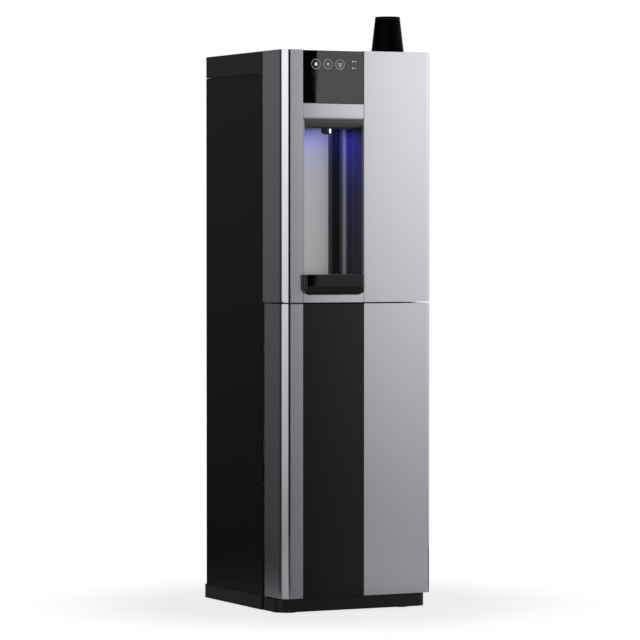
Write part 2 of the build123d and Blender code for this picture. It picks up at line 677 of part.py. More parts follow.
def dispense_head():
    """The silver head over the niche: a straight bar with a rounded belly that carries nozzle and lamp."""
    bar = block(MODULE_X, (FRONT, FASCIA_BACK), (BAR_BOTTOM, BAR_TOP))
    face = bar.faces().sort_by(Axis.Y)[0]
    bar = fillet([edge for edge in face.edges() if edge.center().Z > BAR_BOTTOM + FIT], EDGE)
    x = (LINER_X[0] + FIT, LINER_X[1] - FIT)
    belly = rounded_block(x, (FRONT, BELLY_BACK), (BELLY_BOTTOM, BAR_BOTTOM + SKIN),
                          [(x[0], BELLY_BACK), (x[1], BELLY_BACK)], NICHE_RADIUS)
    belly = fillet(belly.faces().sort_by(Axis.Z)[0].edges(), BELLY_ROUND)
    head = bar + belly
    head -= block((MODULE_X[0] + SKIN, MODULE_X[1] - SKIN), (FRONT + SKIN, FASCIA_BACK + SKIN),
                  (BAR_BOTTOM + SKIN, BAR_TOP + SKIN))
    head -= block((x[0] + BELLY_ROUND, x[1] - BELLY_ROUND), (FRONT + BELLY_ROUND, BELLY_BACK - BELLY_ROUND),
                  (BELLY_BOTTOM + SKIN, BAR_TOP + SKIN))
    floor = (BELLY_BOTTOM - SKIN, BELLY_BOTTOM + 2 * SKIN)
    head -= pole(MODULE_MIDDLE, NOZZLE_Y, floor, NOZZLE_STEM + FIT)
    window = (about(MODULE_MIDDLE, LAMP_WIDTH + 2 * FIT), about(LAMP_Y, LAMP_LENGTH + 2 * FIT))
    return head - block(*window, floor)


def nozzle():
    """The chromed outlet: a short round barrel, drawn in at its tip, on a stem through the head's floor."""
    tip = BELLY_BOTTOM - NOZZLE_DROP
    barrel = pole(MODULE_MIDDLE, NOZZLE_Y, (tip, BELLY_BOTTOM), NOZZLE_RADIUS)
    barrel = fillet(barrel.edges().filter_by(GeomType.CIRCLE).sort_by(Axis.Z)[0], NOZZLE_RADIUS - NOZZLE_TIP)
    stem = pole(MODULE_MIDDLE, NOZZLE_Y, (BELLY_BOTTOM, NOZZLE_TOP), NOZZLE_STEM)
    return barrel + stem - pole(MODULE_MIDDLE, NOZZLE_Y, (tip, NOZZLE_TOP), TUBE_BORE)


def lamp_lens():
    """The clear strip under the head that the blue light shines through."""
    window = block(about(MODULE_MIDDLE, LAMP_WIDTH), about(LAMP_Y, LAMP_LENGTH),
                   (BELLY_BOTTOM + LAMP_RECESS, BELLY_BOTTOM + SKIN))
    flange = block(about(MODULE_MIDDLE, LAMP_WIDTH + 2 * SKIN), about(LAMP_Y, LAMP_LENGTH + 2 * SKIN),
                   (BELLY_BOTTOM + SKIN, BELLY_BOTTOM + SKIN + LAMP_FLANGE))
    return window + flange


def niche_liner():
    """The glossy black niche: two walls, a back with round corners, and a floor under the tray."""
    z = (NICHE_FLOOR - LINER, LINER_TOP)
    back = NICHE_BACK + LINER
    corners = [(MODULE_X[0], back), (MODULE_X[1], back)]
    outside = rounded_block(MODULE_X, (FRONT + LINER_SETBACK, back), z, corners, NICHE_RADIUS + LINER)
    corners = [(LINER_X[0], NICHE_BACK), (LINER_X[1], NICHE_BACK)]
    inside = rounded_block(LINER_X, (FRONT - LINER, NICHE_BACK), (NICHE_FLOOR, LINER_TOP + LINER), corners,
                           NICHE_RADIUS)
    return outside - inside


def niche_back_panel():
    """The flat silver plate on the niche's back, from the left round corner towards the right one."""
    x = (LINER_X[0] + NICHE_RADIUS, LINER_X[1] - PLATE_MARGIN)
    return block(x, (FRONT + NICHE_DEPTH, NICHE_BACK), (NICHE_FLOOR, LINER_TOP))


def apron():
    """The silver bar below the tray, with a ledge that carries the niche's floor."""
    front = block(MODULE_X, (FRONT, FRONT + SKIN), (UPPER_BOTTOM, APRON_TOP))
    return front + block(MODULE_X, (FRONT, FRONT + APRON_RETURN), (APRON_TOP - SKIN, APRON_TOP))


def tray_cavity(growth, z):
    """The plan of the tray's basin, grown sideways, between two heights."""
    inset = TRAY_WALL - growth
    x = (TRAY_X[0] + inset, TRAY_X[1] - inset)
    y = (FRONT - TRAY_PROUD + TRAY_RIM - growth, FRONT + TRAY_REACH - inset)
    front = rounded_block(x, (y[0], FRONT), z, [(x[0], y[0]), (x[1], y[0])], BASIN_RADIUS + growth)
    rear = rounded_block(x, (FRONT, y[1]), z, [(x[0], y[1]), (x[1], y[1])], TRAY_BACK_RADIUS - inset)
    return front + rear


def drip_tray():
    """The black tray: a deep rounded nose in front of the cabinet and a shallow basin in the niche."""
    front = FRONT - TRAY_PROUD
    x = (SEAM_LEFT, SEAM_RIGHT)
    z = (TRAY_TOP - TRAY_NOSE, TRAY_TOP)
    deep = (x, (front, FRONT + TRAY_REACH), z)
    underside = block(*deep).faces().sort_by(Axis.Z)[0]
    nose = block(x, (front, FRONT - FIT), z)
    nose &= rounded_block(*deep, [(SEAM_LEFT, front)], NOSE_LEFT)
    nose &= rounded_block(*deep, [(SEAM_RIGHT, front)], NOSE_RIGHT)
    nose &= fillet(underside.edges().filter_by(Axis.Y), NOSE_CORNER)
    nose &= fillet(underside.edges().filter_by(Axis.X).sort_by(Axis.Y)[0], NOSE_ROUND)
    nose = fillet([edge for edge in nose.faces().sort_by(Axis.Z)[-1].edges()
                   if edge.center().Y < FRONT - 2 * FIT], EDGE)
    back = FRONT + TRAY_REACH
    body = rounded_block(TRAY_X, (FRONT - TRAY_RIM, back), (TRAY_TOP - TRAY_BODY, TRAY_TOP),
                         [(TRAY_X[0], back), (TRAY_X[1], back)], TRAY_BACK_RADIUS)
    basin = tray_cavity(0, (TRAY_TOP - TRAY_BODY + TRAY_WALL, TRAY_TOP))
    seat = tray_cavity(GRILLE_LEDGE, (TRAY_TOP - GRILLE - FIT, TRAY_TOP))
    return nose + body - basin - seat


def drip_grille():
    """The flat slotted grille in the top of the tray."""
    z = (TRAY_TOP - GRILLE, TRAY_TOP)
    grille = tray_cavity(GRILLE_LEDGE - FIT, z)
    slot_y = (FRONT - TRAY_PROUD + TRAY_RIM + GRILLE_BORDER, FRONT + TRAY_REACH - TRAY_WALL - GRILLE_BORDER)
    room = TRAY_X[1] - TRAY_X[0] - 2 * (TRAY_BACK_RADIUS + GRILLE_SLOT)
    slots = 2 * int(room / 2 // GRILLE_PITCH) + 1
    for number in range(slots):
        x = (TRAY_X[0] + TRAY_X[1]) / 2 + (number - (slots - 1) / 2) * GRILLE_PITCH
        grille -= block(about(x, GRILLE_SLOT), slot_y, z)
    return grille


def cup_tube():
    """The tube in the right column that holds the cups, closed below."""
    sleeve = ring(CUP_X, CUP_Y, (CUP_TUBE_FLOOR, HEIGHT - RETAINER), CUP_TUBE_OUTER, CUP_TUBE_INNER)
    return sleeve + pole(CUP_X, CUP_Y, (SHELF_TOP, CUP_TUBE_FLOOR), CUP_TUBE_OUTER)


def cup_retainer():
    """The soft ring in the tube's mouth, round the top cup's rim."""
    return ring(CUP_X, CUP_Y, (HEIGHT - RETAINER, HEIGHT), CUP_TUBE_OUTER, CUP_RIM_RADIUS + FIT)


def cup(bottom):
    """One inverted paper cup: rolled rim below, tapered wall, base set in at the top."""
    wall_foot = CUP_RIM_RADIUS - CUP_BEAD
    taper = (wall_foot - CUP_BASE_RADIUS) / (CUP_HEIGHT - CUP_RIM)
    base = CUP_HEIGHT - CUP_RECESS
    base_radius = wall_foot - taper * (base - CUP_RIM) - CUP_WALL
    mouth_radius = wall_foot + taper * CUP_RIM - CUP_WALL
    outline = [(0, base), (0, base + CUP_WALL), (base_radius - taper * CUP_WALL, base + CUP_WALL),
               (CUP_BASE_RADIUS - CUP_WALL, CUP_HEIGHT), (CUP_BASE_RADIUS, CUP_HEIGHT), (wall_foot, CUP_RIM),
               (CUP_RIM_RADIUS, CUP_RIM), (CUP_RIM_RADIUS, 0), (mouth_radius, 0), (base_radius, base)]
    section = make_face(Polyline(*[(radius, 0, height) for radius, height in outline], close=True))
    return Pos(CUP_X, CUP_Y, bottom) * revolve(section, axis=Axis.Z)


def cup_stack():
    """The nested cups below the top one."""
    return group([cup(CUP_BOTTOM - CUP_NEST * number) for number in range(1, CUP_COUNT + 1)])


def cup_follower():
    """The disc that lifts the stack, with a boss that centres the spring."""
    disc = pole(CUP_X, CUP_Y, (FOLLOWER_BOTTOM, FOLLOWER_TOP), CUP_TUBE_INNER - FOLLOWER_PLAY)
    boss_radius = CUP_SPRING_RADIUS - 2 * CUP_SPRING_WIRE
    return disc + pole(CUP_X, CUP_Y, (FOLLOWER_BOTTOM - FOLLOWER_BOSS, FOLLOWER_BOTTOM), boss_radius)


def cup_spring():
    """The long spring between the tube's floor and the follower."""
    return winding(CUP_X, CUP_Y, CUP_SPRING_Z, CUP_SPRING_RADIUS, CUP_SPRING_TURNS, CUP_SPRING_WIRE, 0)


def door_skin(outer_x, inner_x, radius):
    """A silver door front that wraps round one side."""
    inward = math.copysign(1, inner_x - outer_x)
    z = (DOOR_BOTTOM, DOOR_TOP)
    outside = rounded_block((outer_x, inner_x), (FRONT, DOOR_BACK), z, [(outer_x, FRONT)], radius)
    wall_x = outer_x + inward * SKIN
    inside = rounded_block((wall_x, inner_x + inward * SKIN), (FRONT + SKIN, DOOR_BACK + SKIN), z,
                           [(wall_x, FRONT + SKIN)], radius - SKIN)
    return outside - inside


def door_centre_panel():
    """The black strip down the middle of the door."""
    return block(MODULE_X, (FRONT, FRONT + SKIN), (DOOR_BOTTOM, DOOR_TOP))


def door_core():
    """The black frame that carries the door's fronts: back, rim, two ribs and the hinge bosses."""
    x = (LEFT + SKIN + FIT, RIGHT - SKIN - FIT)
    y = (FRONT + SKIN + FIT, DOOR_BACK)
    z = (DOOR_BOTTOM, DOOR_TOP)
    wall = DOOR_CORE_WALL
    frame = rounded_block(x, y, z, [(x[0], y[0])], LEFT_RADIUS - SKIN - FIT)
    right_front = [edge for edge in frame.edges().filter_by(Axis.Z)
                   if math.dist((edge.center().X, edge.center().Y), (x[1], y[0])) < FIT]
    frame = fillet(right_front, RIGHT_RADIUS - SKIN - FIT)
    hollow_z = (z[0] + wall, z[1] - wall)
    frame -= block((x[0] + wall, x[1] - wall), (y[0] - wall, y[1] - wall), hollow_z)
    for seam in (SEAM_LEFT, SEAM_RIGHT):
        frame += block(about(seam, wall), (y[0], y[1] - wall), hollow_z)
    boss = HINGE_PIN_LENGTH + wall
    frame += pole(HINGE_X, HINGE_Y, (z[0], z[0] + boss), BOSS_RADIUS)
    frame += pole(HINGE_X, HINGE_Y, (z[1] - boss, z[1]), BOSS_RADIUS)
    for bush in bush_heights():
        frame -= pole(HINGE_X, HINGE_Y, bush, BUSH_RADIUS + RUNNING)
    return frame


def bush_heights():
    """The lower and upper limits of the two hinge bushes."""
    return [(DOOR_BOTTOM, DOOR_BOTTOM + HINGE_PIN_LENGTH), (DOOR_TOP - HINGE_PIN_LENGTH, DOOR_TOP)]


def hinge_bushes():
    """Plain bearings in the door's bosses."""
    return group([ring(HINGE_X, HINGE_Y, z, BUSH_RADIUS, HINGE_PIN + RUNNING) for z in bush_heights()])


def hinge_plates():
    """Flat plates on the deck and under the shelf that hold the hinge pins."""
    x = (HINGE_X - HINGE_PLATE_HALF, RIGHT - SKIN - FIT)
    plates = []
    for z in ((DECK_TOP, DECK_TOP + HINGE_PLATE), (UPPER_BOTTOM - HINGE_PLATE, UPPER_BOTTOM)):
        plate = block(x, about(HINGE_Y, 2 * HINGE_PLATE_HALF), z)
        plates.append(plate - pole(HINGE_X, HINGE_Y, z, HINGE_PIN + RUNNING))
    return group(plates)


def hinge_pins():
    """The two pins on which the door turns."""
    end_play = FIT
    lower = pole(HINGE_X, HINGE_Y, (DECK_BOTTOM, DOOR_BOTTOM + HINGE_PIN_LENGTH - end_play), HINGE_PIN)
    upper = pole(HINGE_X, HINGE_Y, (DOOR_TOP - HINGE_PIN_LENGTH + end_play, SHELF_TOP), HINGE_PIN)
    return group([lower, upper])


def door_strike():
    """The steel plate on the back of the door that the magnet holds."""
    return block(CATCH_X, (DOOR_BACK, DOOR_BACK + STRIKE), about(CATCH_MIDDLE, CATCH_HEIGHT))


def door_magnet():
    """The magnet catch on the left front post."""
    return block(CATCH_X, (DOOR_BACK + STRIKE + CATCH_GAP, POST_FRONT), about(CATCH_MIDDLE, CATCH_HEIGHT))


def tank_ports():
    """The x of the tank's outlet and inlet."""
    return (-TANK_PORT_SPREAD, TANK_PORT_SPREAD)


def cold_tank():
    """The steel tank, hollow, with two ports that rise through the insulation's lid."""
    tank = pole(0, TANK_Y, (TANK_BOTTOM, TANK_TOP), TANK_RADIUS)
    tank -= pole(0, TANK_Y, (TANK_BOTTOM + TANK_WALL, TANK_TOP - TANK_WALL), TANK_RADIUS - TANK_WALL)
    for x in tank_ports():
        tank += pole(x, TANK_Y, (TANK_TOP, TANK_PORT_TOP), PORT_RADIUS)
        tank -= pole(x, TANK_Y, (TANK_TOP - TANK_WALL, TANK_PORT_TOP), PORT_BORE)
    return tank


def tank_insulation():
    """The foam box round the tank, slotted where the pipes leave, and its lid."""
    x = about(0, INSULATION_WIDTH)
    y = (INSULATION_FRONT, INSULATION_BACK)
    box = block(x, y, (SHELF_TOP, TANK_TOP)) - pole(0, TANK_Y, (TANK_BOTTOM, TANK_TOP), INSULATION_BORE)
    window = 2 * PIPE_RADIUS
    for height, side in zip(COIL_Z, (-1, 1)):
        slot_y = sorted((TANK_Y - side * window, TANK_Y + side * PIPE_SLOT))
        box -= block((TANK_RADIUS, x[1]), slot_y, (height - window, height + window))
    lid = block(x, y, (LID_BOTTOM, LID_TOP))
    for port in tank_ports():
        lid -= pole(port, TANK_Y, (LID_BOTTOM, LID_TOP), PORT_RADIUS + FIT)
    return group([box, lid])


def evaporator_coil():
    """The refrigerant pipe wound round the tank."""
    return winding(0, TANK_Y, COIL_Z, COIL_RADIUS, COIL_TURNS, PIPE_RADIUS, PIPE_BORE)


def valve_manifold():
    """The valve block on the lid: four ports on top and two solenoids in front."""
    y = about(MANIFOLD_Y, MANIFOLD_DEPTH)
    middle = (MANIFOLD_PORTS[0] + MANIFOLD_PORTS[-1]) / 2
    manifold = block(about(middle, MANIFOLD_WIDTH), y, (LID_TOP, MANIFOLD_TOP))
    for x in MANIFOLD_PORTS:
        manifold += pole(x, MANIFOLD_Y, (MANIFOLD_TOP, MANIFOLD_PORT_TOP), PORT_RADIUS)
        manifold -= pole(x, MANIFOLD_Y, (LID_TOP + MANIFOLD_HEIGHT / 2, MANIFOLD_PORT_TOP), PORT_BORE)
    height = LID_TOP + MANIFOLD_HEIGHT / 2
    for x in (MANIFOLD_PORTS[0], MANIFOLD_PORTS[-1]):
        manifold += axle(x, (y[0] - SOLENOID_LENGTH, y[0]), height, SOLENOID_RADIUS)
    return manifold


def water_tubes():
    """The five water tubes: inlet to filter, filter to valves, to the tank, back, and to the nozzle."""
    chilled, outlet, tank_feed, feed = MANIFOLD_PORTS
    tank_out, tank_in = tank_ports()
    filter_out = (FILTER_X - FILTER_PORT, FILTER_Y)
    filter_in = FILTER_X + FILTER_PORT
    lane = FRONT + INLET_LANE
    behind_module = max(NICHE_BACK + LINER, FASCIA_BACK) + NOZZLE_LANE
    routes = [
        [(INLET_X, INLET_INNER, INLET_HEIGHT), (INLET_X, lane, INLET_HEIGHT),
         (filter_in, lane, FILTER_HEAD_MIDDLE),
         (filter_in, FILTER_HEAD_BACK + FILTER_SPIGOT, FILTER_HEAD_MIDDLE)],
        [(*filter_out, FILTER_HEAD_TOP + FILTER_SPIGOT), (*filter_out, ARCH_TOP),
         (feed, MANIFOLD_Y, ARCH_TOP), (feed, MANIFOLD_Y, MANIFOLD_PORT_TOP)],
        [(tank_feed, MANIFOLD_Y, MANIFOLD_PORT_TOP), (tank_feed, MANIFOLD_Y, ARCH_TOP),
         (tank_in, TANK_Y, ARCH_TOP), (tank_in, TANK_Y, TANK_PORT_TOP)],
        [(tank_out, TANK_Y, TANK_PORT_TOP), (tank_out, TANK_Y, ARCH_TOP), (chilled, MANIFOLD_Y, ARCH_TOP),
         (chilled, MANIFOLD_Y, MANIFOLD_PORT_TOP)],
        [(outlet, MANIFOLD_Y, MANIFOLD_PORT_TOP), (outlet, MANIFOLD_Y, ARCH_TOP),
         (outlet, behind_module, ARCH_TOP), (outlet, behind_module, NOZZLE_TUBE_TOP),
         (outlet, NOZZLE_Y, NOZZLE_TUBE_TOP), (outlet, NOZZLE_Y, NOZZLE_TOP)],
    ]
    return group([tube(route, TUBE_RADIUS, TUBE_BORE) for route in routes])


def compressor():
    """The welded compressor can on its foot plate, with a terminal box and two pipe stubs."""
    can = pole(COMPRESSOR_X, COMPRESSOR_Y, (CAN_BOTTOM, CAN_TOP), COMPRESSOR_RADIUS)
    can = fillet(can.edges().filter_by(GeomType.CIRCLE).sort_by(Axis.Z)[-1], COMPRESSOR_DOME)
    can += block(about(COMPRESSOR_X, COMPRESSOR_PLATE_WIDTH), about(COMPRESSOR_Y, COMPRESSOR_PLATE_DEPTH),
                 (COMPRESSOR_BOTTOM, CAN_BOTTOM))
    for place in mount_places():
        can -= pole(*place, (COMPRESSOR_BOTTOM, CAN_BOTTOM), BOLT_RADIUS + FIT)
    box_y = (COMPRESSOR_Y - COMPRESSOR_RADIUS - TERMINAL_PROUD, COMPRESSOR_Y)
    can += block(about(COMPRESSOR_X, TERMINAL_BOX), box_y, about((CAN_BOTTOM + CAN_TOP) / 2, TERMINAL_BOX))
    for x in compressor_ports():
        can += pole(x, COMPRESSOR_Y, (CAN_TOP - COMPRESSOR_DOME, STUB_TOP), PIPE_RADIUS)
    return can


def compressor_ports():
    """The x of the suction and discharge stubs."""
    return (COMPRESSOR_X - COMPRESSOR_PORT, COMPRESSOR_X + COMPRESSOR_PORT)


def compressor_mounts():
    """Rubber sleeves under the compressor's foot plate."""
    z = (DECK_TOP, COMPRESSOR_BOTTOM)
    return group([ring(*place, z, MOUNT_RADIUS, BOLT_RADIUS + FIT) for place in mount_places()])


def compressor_bolts():
    """Bolts through the foot plate, the rubber sleeves and the deck."""
    bolts = []
    for place in mount_places():
        shank = pole(*place, (DECK_BOTTOM, CAN_BOTTOM), BOLT_RADIUS)
        bolts.append(shank + pole(*place, (CAN_BOTTOM, CAN_BOTTOM + BOLT_HEAD_HEIGHT), BOLT_HEAD))
    return group(bolts)


def condenser():
    """Two upright headers joined by flat tubes, with thin fins between them."""
    bottom = DECK_TOP + FLAT_TUBE_PITCH / 2
    rows = int((CONDENSER_TOP - bottom) // FLAT_TUBE_PITCH)
    tubes = [block((HEADERS[0], HEADERS[1]), CONDENSER_Y, about(bottom + row * FLAT_TUBE_PITCH, FLAT_TUBE))
             for row in range(rows + 1)]
    fin_z = (bottom, bottom + rows * FLAT_TUBE_PITCH)
    count = int(CONDENSER_WIDTH // FIN_PITCH)
    fins = [block(about(CONDENSER_X[0] + (number + 0.5) * FIN_PITCH, FIN), CONDENSER_Y, fin_z)
            for number in range(count)]
    headers = [pole(x, CONDENSER_MIDDLE, (DECK_TOP, HEADER_TOP), HEADER_RADIUS) for x in HEADERS]
    outlet = axle(HEADERS[1], (DRIER_BACK, CONDENSER_MIDDLE), DRIER_Z, PIPE_RADIUS)
    return headers[0] + [*headers[1:], *tubes, *fins, outlet]


def refrigerant_pipes():
    """The brazed pipes: discharge, liquid with its drier, and suction."""
    suction_stub, discharge_stub = compressor_ports()
    over = STUB_TOP + BEND_LIMIT + PIPE_LEAD
    discharge = tube([(discharge_stub, COMPRESSOR_Y, STUB_TOP), (discharge_stub, COMPRESSOR_Y, over),
                      (HEADERS[0], CONDENSER_MIDDLE, over), (HEADERS[0], CONDENSER_MIDDLE, HEADER_TOP)],
                     PIPE_RADIUS, PIPE_BORE)
    drier = axle(HEADERS[1], (DRIER_BACK - DRIER_LENGTH, DRIER_BACK), DRIER_Z, DRIER_RADIUS)
    lane = FRONT + LIQUID_LANE
    coil_in = helix_point(0, TANK_Y, COIL_Z, COIL_RADIUS, COIL_TURNS, 0)
    before_coil = coil_in - helix_heading(COIL_Z, COIL_RADIUS, COIL_TURNS, 0) * PIPE_LEAD
    liquid = tube([(HEADERS[1], DRIER_BACK - DRIER_LENGTH, DRIER_Z), (PIPE_LANE, lane, DRIER_Z),
                   (PIPE_LANE, lane, before_coil.Z), tuple(before_coil), tuple(coil_in)],
                  PIPE_RADIUS, PIPE_BORE)
    full_turns = 2 * math.pi * COIL_TURNS
    coil_out = helix_point(0, TANK_Y, COIL_Z, COIL_RADIUS, COIL_TURNS, full_turns)
    after_coil = coil_out + helix_heading(COIL_Z, COIL_RADIUS, COIL_TURNS, full_turns) * PIPE_LEAD
    suction = tube([tuple(coil_out), tuple(after_coil), (PIPE_LANE, after_coil.Y, after_coil.Z),
                    (PIPE_LANE, after_coil.Y, SUCTION_CROSSING),
                    (suction_stub, COMPRESSOR_Y, SUCTION_CROSSING),
                    (suction_stub, COMPRESSOR_Y, STUB_TOP)], PIPE_RADIUS, PIPE_BORE)
    return group([discharge, drier + liquid, suction])


def fan_shroud():
    """The plate and ring round the fan, with crossed arms that hold the motor."""
    opening = FAN_RADIUS + FAN_PLAY
    plate = block(CONDENSER_X, SHROUD_Y, (DECK_TOP, CONDENSER_TOP))
    plate += axle(FAN_X, (FAN_RING_FRONT, SHROUD_Y[0]), FAN_Z, opening + FAN_RING_WALL)
    plate -= axle(FAN_X, (FAN_RING_FRONT, SHROUD_Y[1]), FAN_Z, opening)
    arm_y = (MOTOR_BACK, FAN_RING_FRONT)
    reach = 2 * (opening + FAN_RING_WALL)
    arms = block(about(FAN_X, reach), arm_y, about(FAN_Z, FAN_ARM_WIDTH))
    arms += block(about(FAN_X, FAN_ARM_WIDTH), arm_y, about(FAN_Z, reach))
    return plate + arms - axle(FAN_X, arm_y, FAN_Z, SHAFT_RADIUS + FIT)


def fan_motor():
    """The fan's motor and its shaft."""
    can = axle(FAN_X, (MOTOR_BACK - MOTOR_LENGTH, MOTOR_BACK), FAN_Z, MOTOR_RADIUS)
    return can + axle(FAN_X, (MOTOR_BACK, HUB_BACK - SHAFT_RADIUS), FAN_Z, SHAFT_RADIUS)


def fan_rotor():
    """The fan wheel: a hub with a blind bore for the shaft, and pitched blades."""
    hub_y = (HUB_FRONT, HUB_BACK)
    rotor = axle(FAN_X, hub_y, FAN_Z, FAN_HUB)
    span = FAN_RADIUS - FAN_HUB / 2
    blade = Rot(FAN_BLADE_PITCH, 0, 0) * Box(span, FAN_BLADE_CHORD, FAN_BLADE)
    blade = Pos(FAN_HUB / 2 + span / 2, 0, 0) * blade
    middle = Pos(FAN_X, sum(hub_y) / 2, FAN_Z) * Rot(90, 0, 0)
    for number in range(FAN_BLADES):
        rotor += middle * Rot(0, 0, 360 * number / FAN_BLADES) * blade
    return rotor - axle(FAN_X, (HUB_FRONT, HUB_BACK - SHAFT_RADIUS + FIT), FAN_Z, SHAFT_RADIUS + RUNNING)


def filter_head():
    """The filter's head under the shelf, with its hanging bracket, a bore for the neck and two spigots."""
    x = about(FILTER_X, FILTER_HEAD_WIDTH)
    y = about(FILTER_Y, FILTER_HEAD_DEPTH)
    head = block(x, y, (FILTER_HEAD_BOTTOM, FILTER_HEAD_TOP))
    head -= pole(FILTER_X, FILTER_Y, (FILTER_HEAD_BOTTOM, FILTER_HEAD_BOTTOM + FILTER_NECK_LENGTH + FIT),
                 FILTER_NECK + RUNNING)
    bracket_x = (FILTER_X, x[1])
    hanger = (FILTER_HEAD_TOP, UPPER_BOTTOM)
    head += block(bracket_x, y, hanger)
    head -= block((bracket_x[0] + BRACKET, bracket_x[1] - BRACKET), y,
                  (hanger[0] + BRACKET, hanger[1] - BRACKET))
    out_x = FILTER_X - FILTER_PORT
    head += pole(out_x, FILTER_Y, (FILTER_HEAD_TOP, FILTER_HEAD_TOP + FILTER_SPIGOT), PORT_RADIUS)
    return head + axle(FILTER_X + FILTER_PORT, (y[1], y[1] + FILTER_SPIGOT), FILTER_HEAD_MIDDLE, PORT_RADIUS)


def filter_cartridge():
    """The water filter: a round cartridge whose neck twists into the head."""
    top = FILTER_HEAD_BOTTOM - FIT
    body = pole(FILTER_X, FILTER_Y, (top - FILTER_LENGTH, top), FILTER_RADIUS)
    body = fillet(body.edges().filter_by(GeomType.CIRCLE), FILTER_DOME)
    return body + pole(FILTER_X, FILTER_Y, (top - FILTER_DOME, top + FILTER_NECK_LENGTH), FILTER_NECK)


def inlet_fitting():
    """The push-in water inlet: a flange outside the rear panel, a stem through it and a bore for the tube."""
    flange_y = (REAR_OUTSIDE, REAR_OUTSIDE + INLET_FLANGE_THICKNESS)
    fitting = axle(INLET_X, flange_y, INLET_HEIGHT, INLET_FLANGE)
    fitting += axle(INLET_X, (INLET_INNER, REAR_OUTSIDE), INLET_HEIGHT, INLET_STEM)
    fitting -= axle(INLET_X, (flange_y[1] - INLET_BORE_LENGTH, flange_y[1]), INLET_HEIGHT, INLET_BORE)
    return fitting - axle(INLET_X, (INLET_INNER, flange_y[1]), INLET_HEIGHT, TUBE_BORE)


def mains_inlet():
    """The mains socket in the rear panel, with three contact pins."""
    flange_y = (REAR_OUTSIDE, REAR_OUTSIDE + MAINS_FLANGE[2])
    inlet = block(about(MAINS_X, MAINS_FLANGE[0]), flange_y, about(MAINS_HEIGHT, MAINS_FLANGE[1]))
    inlet += block(about(MAINS_X, MAINS_BODY[0]), (REAR_OUTSIDE - MAINS_BODY[2], REAR_OUTSIDE),
                   about(MAINS_HEIGHT, MAINS_BODY[1]))
    socket_floor = flange_y[1] - MAINS_SOCKET[2]
    inlet -= block(about(MAINS_X, MAINS_SOCKET[0]), (socket_floor, flange_y[1]),
                   about(MAINS_HEIGHT, MAINS_SOCKET[1]))
    rise = MAINS_PIN[1] / 2
    for step, lift in ((-1, -rise), (0, rise), (1, -rise)):
        inlet += block(about(MAINS_X + step * MAINS_PIN_PITCH, MAINS_PIN[0]),
                       (socket_floor, socket_floor + MAINS_PIN[2]), about(MAINS_HEIGHT + lift, MAINS_PIN[1]))
    return inlet


def main_board():
    """The control and power board on its standoffs, with a transformer, a relay and a capacitor."""
    x = about(MAIN_BOARD_X, MAIN_BOARD_WIDTH)
    z = about(MAIN_BOARD_HEIGHT, MAIN_BOARD_LENGTH)
    front = BOARD_BACK - BOARD
    board = block(x, (front, BOARD_BACK), z)
    for post_x in (x[0] + STANDOFF_INSET, x[1] - STANDOFF_INSET):
        for post_z in (z[0] + STANDOFF_INSET, z[1] - STANDOFF_INSET):
            board += axle(post_x, (BOARD_BACK, REAR_INSIDE), post_z, STANDOFF_RADIUS)
    part = MAIN_BOARD_LENGTH / 3
    board += block(about(MAIN_BOARD_X - part, part), (front - part, front), about(MAIN_BOARD_HEIGHT, part))
    board += block(about(MAIN_BOARD_X + part, part), (front - part / 2, front),
                   about(MAIN_BOARD_HEIGHT, part / 2))
    return board + axle(MAIN_BOARD_X, (front - part, front), MAIN_BOARD_HEIGHT + part, part / 4)


feet = {f"levelling_foot_{name}": levelling_foot(place) for name, place in foot_places().items()}
nodes = {
    "plinth_kick": plinth_kick(),
    "plinth_rear": plinth_rear(),
    "base_deck": base_deck(),
    **feet,
    "frame_posts": frame_posts(),
    "side_panel_left": side_panel((LEFT, LEFT + SHEET)),
    "side_panel_right": side_panel((RIGHT - SHEET, RIGHT)),
    "rear_panel": rear_panel(),
    "rear_panel_screws": rear_panel_screws(),
    "top_cover": top_cover(),
    "mid_shelf": mid_shelf(),
    "column_left": column(LEFT, SEAM_LEFT - PANEL_GAP / 2, LEFT_RADIUS),
    "column_right": column_right(),
    "control_glass": control_glass(),
    "control_housing": control_housing(),
    "touch_board": touch_board(),
    "dispense_head": dispense_head(),
    "nozzle": nozzle(),
    "lamp_lens": lamp_lens(),
    "niche_liner": niche_liner(),
    "niche_back_panel": niche_back_panel(),
    "apron": apron(),
    "drip_tray": drip_tray(),
    "drip_grille": drip_grille(),
    "cup_tube": cup_tube(),
    "cup_retainer": cup_retainer(),
    "cup_follower": cup_follower(),
    "cup_spring": cup_spring(),
    "cup_stack": cup_stack(),
    "top_cup": cup(CUP_BOTTOM),
    "door_left_profile": door_skin(LEFT, SEAM_LEFT - PANEL_GAP / 2, LEFT_RADIUS),
    "door_centre_panel": door_centre_panel(),
    "door_right_panel": door_skin(RIGHT, SEAM_RIGHT + PANEL_GAP / 2, RIGHT_RADIUS),
    "door_core": door_core(),
    "hinge_plates": hinge_plates(),
    "hinge_pins": hinge_pins(),
    "hinge_bushes": hinge_bushes(),
    "door_strike": door_strike(),
    "door_magnet": door_magnet(),
    "cold_tank": cold_tank(),
    "tank_insulation": tank_insulation(),
    "evaporator_coil": evaporator_coil(),
    "valve_manifold": valve_manifold(),
    "water_tubes": water_tubes(),
    "compressor": compressor(),
    "compressor_mounts": compressor_mounts(),
    "compressor_bolts": compressor_bolts(),
    "condenser": condenser(),
    "refrigerant_pipes": refrigerant_pipes(),
    "fan_shroud": fan_shroud(),
    "fan_motor": fan_motor(),
    "fan_rotor": fan_rotor(),
    "filter_head": filter_head(),
    "filter_cartridge": filter_cartridge(),
    "inlet_fitting": inlet_fitting(),
    "mains_inlet": mains_inlet(),
    "main_board": main_board(),
}

